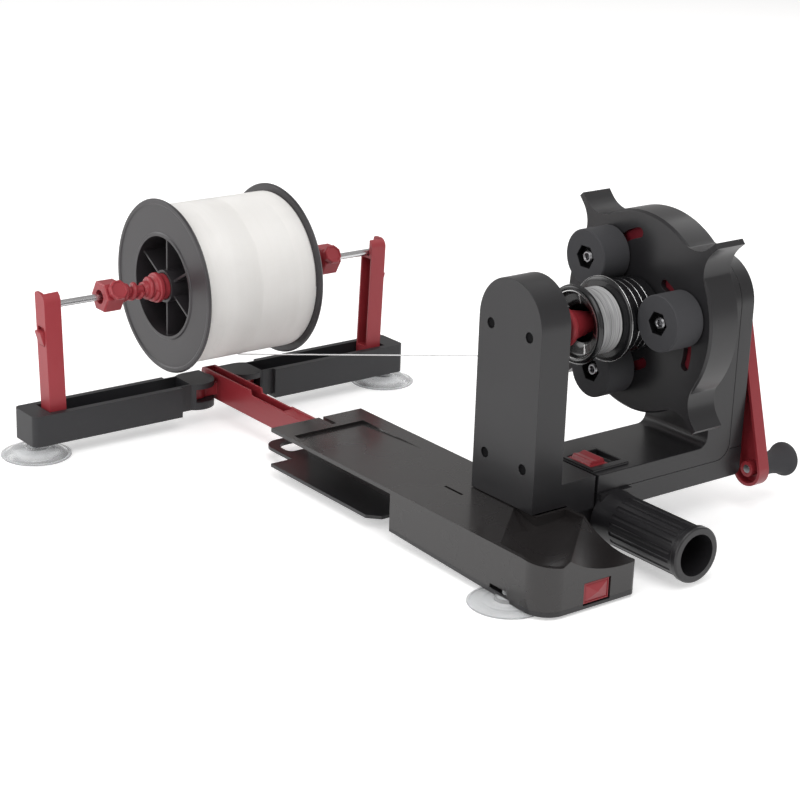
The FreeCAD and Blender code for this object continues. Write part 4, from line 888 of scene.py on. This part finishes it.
def release_face(name, low, high):
    """The release button: a square block whose bordered face is a raised pyramid with four ridges."""
    bm = bmesh.new()
    front, back = high.x, low.x

    def frame_ring(x, inset):
        return [bm.verts.new((x, y, z)) for y, z in (
            (low.y + inset, low.z + inset), (high.y - inset, low.z + inset),
            (high.y - inset, high.z - inset), (low.y + inset, high.z - inset))]

    rings = [frame_ring(back, 0.0), frame_ring(front - 2.2 * MM, 0.0), frame_ring(front - 1.8 * MM, 0.5 * MM),
             frame_ring(front - 1.8 * MM, 1.1 * MM), frame_ring(front - 2.3 * MM, 1.3 * MM),
             frame_ring(front - 1.7 * MM, 2.0 * MM)]
    for one, other in zip(rings, rings[1:]):
        bridge(bm, one, other)
    apex = bm.verts.new((front, (low.y + high.y) / 2, (low.z + high.z) / 2))
    for k in range(4):
        bm.faces.new((rings[-1][k], rings[-1][(k + 1) % 4], apex))
    bm.faces.new(list(reversed(rings[0])))
    return shade(from_bmesh(bm, name), 12.0)


class WINDER_OT_base(bpy.types.Operator):
    """Makes the base: deck and box, bowl, bottom plate, cups, release button and its spring"""
    bl_idname = "winder.base"
    bl_label = "Base"

    def execute(self, context):
        soften_piece("base_shell", deck_black(), "base", name="deck_and_box")
        soften_piece("base_bottom_plate", gloss_black(), "base", sizes().small_edge)
        for node in ("front_left_cup", "front_right_cup"):
            suction_cup(node, "base", sizes().front_cup_dome)
        low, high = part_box("release_button")
        middle = centre_of("release_spring")
        back = high.x - 4.5 * MM
        face = release_face("release_button_face", Vector((back, low.y, low.z)), high)
        add_piece("release_button_face", face, red(), "release", "release_button")
        stem = lathe("release_button_stem", [
            (0, low.x / MM), (2.6, low.x / MM), (3.0, low.x / MM + 0.4), (3.0, back / MM + 0.2),
            (0, back / MM + 0.2)],
            "X", Vector((0, middle.y, middle.z)), 32)
        add_piece("release_button_stem", stem, red(), "release")
        low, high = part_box("release_spring")
        spring = coil(
            "release_spring_wire", 4.2, (high.x - low.x) / MM - 1.2, 4.5, 0.5,
            Vector((low.x + 0.6 * MM, (low.y + high.y) / 2, (low.z + high.z) / 2)), (0, math.pi / 2, 0), steel())
        piece = add_piece("release_spring_wire", spring, None, "base", "release_spring")
        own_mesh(piece)
        return {"FINISHED"}


# ---------------------------------------------------------------- beam, arms, posts
class WINDER_OT_beam(bpy.types.Operator):
    """Makes the sliding beam and its arm pins"""
    bl_idname = "winder.beam"
    bl_label = "Extension beam"

    def execute(self, context):
        soften_piece("extension_beam", red(), "extension", sizes().small_edge)
        soften_piece("arm_pins", steel("arm_pins"), "extension", sizes().small_edge)
        return {"FINISHED"}


class WINDER_OT_arms(bpy.types.Operator):
    """Makes the two folding arms with their cups and pins"""
    bl_idname = "winder.arms"
    bl_label = "Arms"

    def execute(self, context):
        for side in ("left", "right"):
            soften_piece(f"{side}_arm", charcoal(), f"{side}_arm")
            suction_cup(f"{side}_arm_cup", f"{side}_arm", sizes().arm_cup_dome)
            soften_piece(f"{side}_post_pin", steel(), f"{side}_arm", sizes().small_edge)
        return {"FINISHED"}


class WINDER_OT_posts(bpy.types.Operator):
    """Makes the two folding posts and their latches"""
    bl_idname = "winder.posts"
    bl_label = "Posts"

    def execute(self, context):
        for side in ("left", "right"):
            soften_piece(f"{side}_post", crimson(), f"{side}_post", 0.8 * MM)
            soften_piece(f"{side}_post_latch", crimson(), f"{side}_latch", 0.4 * MM)
        return {"FINISHED"}


# ---------------------------------------------------------------- rod, clamps, cones
def clamp_block(node, sign):
    """A hexagonal clamp with bevelled ends and a wide bore round the rod at its outer end."""
    low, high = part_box(node)
    half = (high.y - low.y) / 2 / MM
    reach = (high.x - low.x) / 2 / MM
    profile = [
        (2.6, -half * sign), (reach - 0.9, -half * sign), (reach, -(half - 0.8) * sign),
        (reach, (half - 0.8) * sign),
        (reach - 0.9, half * sign)]
    bore = [(5.2, half * sign), (4.9, (half - 4.3) * sign), (2.6, (half - 4.3) * sign), (2.6, -half * sign)]
    return lathe_mixed(node, profile, bore, on_axis("spool_rod", (low.y + high.y) / 2))


def lathe_mixed(name, hexagonal, round_part, centre, steps=96):
    """A closed turned shape whose first rings are hexagons and whose last rings are circles."""
    along, first, second = side_vectors("Y")
    bm = bmesh.new()
    rings = []
    slice_angle = math.pi / 3
    for kind, profile in (("hexagon", hexagonal), ("circle", round_part)):
        for radius, place in profile:
            ring = []
            for k in range(steps):
                angle = 2 * math.pi * k / steps
                reach = radius
                if kind == "hexagon" and radius > 4:
                    turned = (angle + slice_angle / 2) % slice_angle - slice_angle / 2
                    reach = radius * math.cos(slice_angle / 2) / math.cos(turned)
                side = first * math.cos(angle) + second * math.sin(angle)
                ring.append(bm.verts.new(centre + along * place * MM + side * reach * MM))
            rings.append(ring)
    for one, other in zip(rings, rings[1:]):
        bridge(bm, one, other)
    return shade(from_bmesh(bm, name), 25.0)


def thumb_screw(node):
    """A clamp's thumb screw: shank, and an eight-sided head whose face is dished inside a raised rim."""
    lean = math.radians(30.0)
    return lathe(node, [
        (0, 3.4), (2.7, 3.4), (3.0, 3.8), (3.0, 10.4), (6.2, 10.4), (7.4, 11.3), (7.4, 14.3), (6.6, 15.2),
        (5.9, 15.2), (5.4, 14.5), (0, 14.3)],
        (math.cos(lean), 0, math.sin(lean)), on_axis("spool_rod", centre_of(node).y), sides=8, turn=22.5)


def pressed_cone(node):
    """The sprung cone: a core that swells to a dished disc, and a short nose that sits in the spool's boss."""
    low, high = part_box(node)
    back, nose = low.y / MM, high.y / MM
    return lathe(node, [
        (2.56, back), (4.6, back), (5.6, back + 0.8, 0.5), (6.4, back + 6.5, 2), (8.6, back + 9.2, 0.5),
        (9.9, back + 9.5, 0.3), (11.0, back + 10.2, 0.6), (11.0, back + 13.0, 0.8), (9.8, back + 14.0, 0.5),
        (9.5, back + 14.6, 0.3), (9.5, nose - 4.0, 0.4), (7.0, nose), (2.56, nose), (2.56, back)],
        "Y", on_axis(node, 0.0))


class WINDER_OT_rod(bpy.types.Operator):
    """Makes the rod with its clamps, thumb screws, spring and cones"""
    bl_idname = "winder.rod"
    bl_label = "Rod and clamps"

    def execute(self, context):
        soften_piece("spool_rod", steel(), "rod", 0.5 * MM, "rod_bar")
        for side, sign in (("left", -1), ("right", 1)):
            node = f"{side}_clamp"
            add_piece(node + "_block", clamp_block(node, sign), crimson(), "rod", node)
            node = f"{side}_clamp_screw"
            add_piece(node + "_head", thumb_screw(node), crimson(), f"{side}_thumbscrew", node)
        low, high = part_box("pressure_spring")
        start = on_axis("spool_rod", high.y)
        thick = sizes().spring_wire / MM
        height = (high.y - low.y) / MM - 2 * thick
        spring = coil(
            "spring_coil", 6.7 - thick, height, 2.5, thick, start - Vector((0, thick * MM, 0)),
            (math.pi / 2, 0, 0), crimson(), 28, 14)
        piece = add_piece("spring_coil", spring, None, "rod", "pressure_spring")
        near, far = low.y / MM + 0.3, high.y / MM - 0.3
        core = lathe("spring_core", [(2.56, near), (3.7, near), (3.7, far), (2.56, far), (2.56, near)], "Y",
                     on_axis("spool_rod", 0.0))
        core = add_piece("spring_core", core, crimson(), "rod")
        for part in (piece, core):
            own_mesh(part)
        low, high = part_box("pressure_cone")
        add_piece(
            "pressure_cone_body", pressed_cone("pressure_cone"), crimson(), "cone", "pressure_cone")
        wire = 2.0
        start = on_axis("pressure_cone", low.y + 9.0 * MM)
        thread = coil(
            "pressure_cone_thread", 8.4, 9.0 - wire, 1.6, wire, start, (math.pi / 2, 0, 0), crimson(), 36, 12, 4.9)
        add_piece("pressure_cone_thread", thread, None, "cone")
        soften_piece("fixed_cone", crimson(), "rod", sizes().small_edge)
        return {"FINISHED"}


# ---------------------------------------------------------------- bulk spool
def winding(node, name, pitch, rgb, shade_rgb, contrast, glow, facets):
    """A wound spool of line: a crowned body under one real outer layer of turns."""
    low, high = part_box(node)
    middle = on_axis(node)
    outer = (high.x - low.x) / 2 / MM
    half = (high.y - low.y) / 2 / MM
    wire = pitch / MM / 2
    material = wound_nylon(name, rgb, shade_rgb, pitch, contrast, glow)
    body = lathe(name + "_body", [
        (outer * 0.66, -half), (outer - 1.6 * wire, -half), (outer - 1.1 * wire, -half + wire * 2, wire * 2),
        (outer - 1.1 * wire, half - wire * 2, wire * 2), (outer - 1.6 * wire, half), (outer * 0.66, half),
        (outer * 0.66, -half)], "Y", middle, 128)
    turns = 2 * (half - wire) / (pitch / MM)
    layer = coil(
        name + "_turns", outer - wire, 2 * (half - wire), turns, wire,
        middle + Vector((0, (half - wire) * MM, 0)), (math.pi / 2, 0, 0), material, 64, facets)
    return body, layer, material


def add_winding(node, name, pitch, rgb, shade_rgb, contrast, glow, body_name, facets=6):
    """The two pieces of a winding on their body."""
    body, layer, material = winding(node, name, pitch, rgb, shade_rgb, contrast, glow, facets)
    add_piece(name + "_body", body, material, body_name, node)
    add_piece(name + "_turns", shade(layer, 60.0), None, body_name)


class WINDER_OT_bulk_spool(bpy.types.Operator):
    """Makes the bulk spool's two halves and its winding"""
    bl_idname = "winder.bulk_spool"
    bl_label = "Bulk spool"

    def execute(self, context):
        centre = tuple(on_axis("bulk_line"))
        flange = turned_metal(
            "turned flange", finish().flange, 0.40, centre, 900.0, 0.0, Specular_IOR_Level=0.45, Coat_Weight=0.1,
            Coat_Roughness=0.3)
        for side in ("left", "right"):
            soften_piece(f"bulk_spool_{side}_half", flange, "bulk_spool", 0.4 * MM)
        add_winding(
            "bulk_line", "bulk_winding", sizes().bulk_pitch, finish().nylon, finish().nylon_shade, 0.35, 0.004,
            "bulk_spool")
        return {"FINISHED"}


# ---------------------------------------------------------------- tail
class WINDER_OT_tail(bpy.types.Operator):
    """Makes the sliding tail with its cover, screws, bush, spindle and live centre"""
    bl_idname = "winder.tail"
    bl_label = "Tail"

    def execute(self, context):
        soften_piece("tail_upright", gloss_black(), "tail", 1.2 * MM, segments=3)
        soften_piece("tail_cover", gloss_black(), "tail", sizes().small_edge)
        # The tail's screws are near-black: painted shade in their holes.
        dress_node("tail_screws", shadow_black())
        soften_piece("tail_bush", bronze(), "tail", sizes().small_edge)
        soften_piece("tail_spindle", steel("tail_spindle"), "tail", sizes().small_edge)
        low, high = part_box("live_centre")
        wide = (high.x - low.x) / 2 / MM
        near, far = low.y / MM, high.y / MM
        cone = lathe("live_centre_cone", [
            (4.1, near), (wide - 0.8, near), (wide, near + 0.8), (wide, near + 3.2), (wide - 0.8, near + 4),
            (wide - 2.4, near + 5.5, 2), (6.4, far - 0.8, 1), (5.2, far), (4.1, far), (4.1, near)],
            "Y", Vector((centre_of("live_centre").x, 0, centre_of("live_centre").z)))
        add_piece("live_centre_cone", cone, red(), "centre", "live_centre")
        return {"FINISHED"}


# ---------------------------------------------------------------- yoke
class WINDER_OT_yoke(bpy.types.Operator):
    """Makes the yoke's shells, bearings, width latch and grip"""
    bl_idname = "winder.yoke"
    bl_label = "Yoke and grip"

    def execute(self, context):
        for node in ("yoke_frame", "yoke_lower_shell", "yoke_cover"):
            soften_piece(node, gloss_black(), "base")
        dress_node("chuck_bearings", steel("chuck_bearings"))
        soften_piece("width_latch", red(), "width_latch", sizes().small_edge)
        soften_piece("grip_tube", gloss_black(), "base", sizes().small_edge)
        low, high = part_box("grip_tube")
        end = high.x / MM
        radius = (high.y - low.y) / 2 / MM
        middle = Vector((0, (low.y + high.y) / 2, high.z - radius * MM))
        bead = lathe("grip_rolled_end", [
            (radius - 2.6, end - 0.2), (radius - 1.4, end - 0.05, 0.5), (radius - 0.05, end - 0.9, 1),
            (radius - 0.02, end - 2.2, 0.6), (radius - 0.9, end - 2.7, 0.4), (radius - 0.9, end - 3.2, 0.4),
            (radius - 0.05, end - 3.6, 0.4), (radius - 0.4, end - 4.4, 0.5), (radius - 1.6, end - 4.8),
            (radius - 2.6, end - 0.2)], "X", middle)
        add_piece("grip_rolled_end", bead, gloss_black(), "base")
        return {"FINISHED"}


# ---------------------------------------------------------------- chuck
def roller(node):
    """A rubber roller with nearly sharp rims and a hexagonal recess in its face."""
    low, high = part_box(node)
    middle = on_axis(node)
    wide = (high.x - low.x) / 2 / MM
    half = (high.y - low.y) / 2 / MM
    recess = [(2.9, -half + 5), (8.2, -half + 5), (8.2, -half + 0.3), (8.6, -half)]
    tyre = [
        (wide - 0.7, -half), (wide, -half + 0.7), (wide, half - 0.7), (wide - 0.7, half), (2.9, half),
        (2.9, -half + 5)]
    return lathe_mixed(node, recess, tyre, middle)


def recess_shade_lining(node):
    """A near-black lining of painted shade over the unlit walls and floor of a roller's hexagonal recess."""
    low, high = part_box(node)
    half = (high.y - low.y) / 2 / MM
    walls = [(8.45, -half + 0.25), (8.0, -half + 0.35), (8.0, -half + 4.8)]
    floor = [
        (2.95, -half + 4.8), (2.95, -half + 5.0), (8.3, -half + 5.0), (8.3, -half + 0.35),
        (8.45, -half + 0.25)]
    return lathe_mixed(node + "_recess", walls, floor, on_axis(node))


def socket_head(node):
    """A roller's screw seen in its recess: a bright ring round a dark socket."""
    low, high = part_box(node)
    near, far = low.y / MM, high.y / MM
    return lathe(node, [
        (0, near + 2.9), (1.9, near + 2.9), (2.1, near + 0.5), (2.5, near), (3.3, near), (4.2, near + 1.0),
        (4.2, near + 3.3), (1.45, near + 3.4), (1.45, far), (0, far)], "Y", on_axis(node, 0.0), 48)


class WINDER_OT_chuck(bpy.types.Operator):
    """Makes the chuck: spindle, guide plate, finned ring, jaws, rollers and their screws"""
    bl_idname = "winder.chuck"
    bl_label = "Chuck"

    def execute(self, context):
        soften_piece("chuck_spindle", steel("chuck_spindle"), "chuck", sizes().small_edge)
        # The jaw guide plate takes the darker red: painted shade.
        soften_piece("jaw_guide_plate", painted_shade_red(), "chuck", sizes().small_edge)
        soften_piece("chuck_ring", gloss_black(), "ring", 0.9 * MM, segments=3)
        for n in (1, 2, 3):
            body = f"jaw_{n}"
            soften_piece(f"jaw_{n}", charcoal(), body, sizes().small_edge)
            add_piece(f"roller_{n}_tyre", roller(f"roller_{n}"), rubber(), body, f"roller_{n}")
            node = f"roller_screw_{n}"
            add_piece(node + "_socket", socket_head(node), dark_steel(node), body, node)
            # Each recess gets a near-black lining: painted shade.
            lining = recess_shade_lining(f"roller_{n}")
            add_piece(f"roller_{n}_recess", lining, shadow_black(), body)
        return {"FINISHED"}


# ---------------------------------------------------------------- reel spool
def funnel_spoke(front):
    """One wedge on the wall of the reel spool's hollow front, with its axis along Y through the origin."""
    bm = bmesh.new()
    rings = []
    for radius, place, half in ((13.6, front + 5.7, 0.5), (20.0, front + 3.7, 1.5)):
        rings.append([bm.verts.new(Vector((x, y, radius)) * MM) for x, y in (
            (-half, place + 0.8), (half, place + 0.8), (half * 0.5, place), (-half * 0.5, place))])
    bridge(bm, *rings)
    for ring in rings:
        bm.faces.new(ring)
    return shade(from_bmesh(bm, "funnel_spoke"))


class WINDER_OT_reel(bpy.types.Operator):
    """Makes the reel spool, its rings and spokes in bright metal as painted highlights, and its winding"""
    bl_idname = "winder.reel"
    bl_label = "Reel spool"

    def execute(self, context):
        low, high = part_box("reel_spool")
        front, back = low.y / MM, high.y / MM
        centre = on_axis("reel_spool", 0.0)
        body = lathe("reel_spool_body", [
            (4.1, front + 21), (12.6, front + 21), (12.6, front + 7), (14.6, front + 5.4, 1.5),
            (20.4, front + 4.0, 1),
            (21.6, front + 1.4, 1.5), (23.2, front, 1.0), (24.8, front, 1.4), (26.0, front + 1.6, 1.4),
            (26.0, front + 3.4, 1.0), (25.0, front + 4.4, 0.8), (15.0, front + 5.6), (15.0, front + 23.5),
            (25.5, front + 24.4, 0.5), (28.0, front + 25.2, 1.4), (28.3, front + 27.2, 1.4),
            (27.6, front + 29.3, 1.2),
            (24.5, front + 30.6, 0.4), (24.5, back - 0.6, 0.4), (23.9, back), (21.8, back), (21.8, front + 31),
            (4.1, front + 31), (4.1, front + 21)], "Y", centre, 128)
        add_piece("reel_spool_body", body, reel_black(), "chuck", "reel_spool")
        # Thin bright rings on the lip's inner edge, the skirt and the flange rim: painted highlights.
        for number, (radius, place, wide) in enumerate((
                (22.3, front + 0.55, 0.4), (24.5, back - 19.0, 0.3), (24.5, back - 14.0, 0.3),
                (24.5, back - 8.5, 0.3), (28.15, front + 25.9, 0.3)), start=1):
            ring = lathe(f"reel_ring_{number}", [
                (radius - 0.5, place), (radius, place), (radius + 0.1, place + wide / 2),
                (radius, place + wide), (radius - 0.5, place + wide), (radius - 0.5, place)], "Y", centre)
            add_piece(f"reel_ring_{number}", ring, painted_highlight_metal(), "chuck")
        # The spokes in bright metal: painted reflections and highlights on their edges.
        spokes = copies(
            "reel_spokes", funnel_spoke(front), 7, painted_highlight_metal(), turn=(0, 2 * math.pi / 7, 0), start=tuple(centre))
        add_piece("reel_spokes", spokes, None, "chuck")
        # The reel winding's dark bands, strong here, are partly painted shade between turns.
        add_winding(
            "reel_line", "reel_winding", sizes().reel_pitch, finish().reel_nylon, (0.14, 0.14, 0.145), 0.95, 0.003,
            "chuck")
        return {"FINISHED"}


# ---------------------------------------------------------------- crank
class WINDER_OT_crank(bpy.types.Operator):
    """Makes the crank arm, its screw, the pin and the knob"""
    bl_idname = "winder.crank"
    bl_label = "Crank"

    def execute(self, context):
        soften_piece("crank_arm", red(), "chuck", sizes().small_edge)
        soften_piece("crank_screw", steel("crank_screw"), "chuck", sizes().small_edge)
        soften_piece("knob_pin", dark_steel("knob_pin"), "chuck", sizes().small_edge)
        low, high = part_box("crank_knob")
        wide = (high.x - low.x) / 2 / MM
        near, far = low.y / MM, high.y / MM
        knob = lathe("crank_knob_grip", [
            (3.1, near), (7.6, near), (8.4, near + 0.8), (8.2, near + 3), (7.2, near + 11, 7), (9.0, near + 20, 7),
            (wide - 0.2, far - 6, 5), (wide, far - 3, 2), (wide - 1.6, far, 2), (5.4, far), (5.0, far - 0.4),
            (5.0, far - 4), (3.1, far - 4), (3.1, near)], "Y",
            Vector((centre_of("crank_knob").x, 0, centre_of("crank_knob").z)))
        add_piece("crank_knob_grip", knob, rubber(), "knob", "crank_knob")
        return {"FINISHED"}


# ---------------------------------------------------------------- panel and running
STEPS = (
    WINDER_OT_stage, WINDER_OT_line, WINDER_OT_base, WINDER_OT_beam, WINDER_OT_arms, WINDER_OT_posts,
    WINDER_OT_rod, WINDER_OT_bulk_spool, WINDER_OT_tail, WINDER_OT_yoke, WINDER_OT_chuck, WINDER_OT_reel,
    WINDER_OT_crank)


class WINDER_PT_panel(bpy.types.Panel):
    """Lists the winder's settings and its pieces"""
    bl_idname = "WINDER_PT_panel"
    bl_label = "Line winder"
    bl_space_type = "VIEW_3D"
    bl_region_type = "UI"
    bl_category = "Winder"

    def draw(self, context):
        for group in (context.scene.winder_sizes, context.scene.winder_finish):
            for name in group.__annotations__:
                self.layout.prop(group, name)
        for step in STEPS:
            self.layout.operator(step.bl_idname)


CLASSES = (WINDER_PG_sizes, WINDER_PG_finish, *STEPS, WINDER_PT_panel)


def register():
    """Registers the classes and hangs the properties on the scene."""
    for cls in CLASSES:
        bpy.utils.register_class(cls)
    bpy.types.Scene.winder_sizes = bpy.props.PointerProperty(type=WINDER_PG_sizes)
    bpy.types.Scene.winder_finish = bpy.props.PointerProperty(type=WINDER_PG_finish)


def unregister():
    """Takes the properties and classes away again."""
    del bpy.types.Scene.winder_finish
    del bpy.types.Scene.winder_sizes
    for cls in reversed(CLASSES):
        bpy.utils.unregister_class(cls)


def main():
    """Makes the whole winder."""
    register()
    for step in STEPS:
        group, operator = step.bl_idname.split(".")
        getattr(getattr(bpy.ops, group), operator)()


if __name__ == "__main__":
    main()
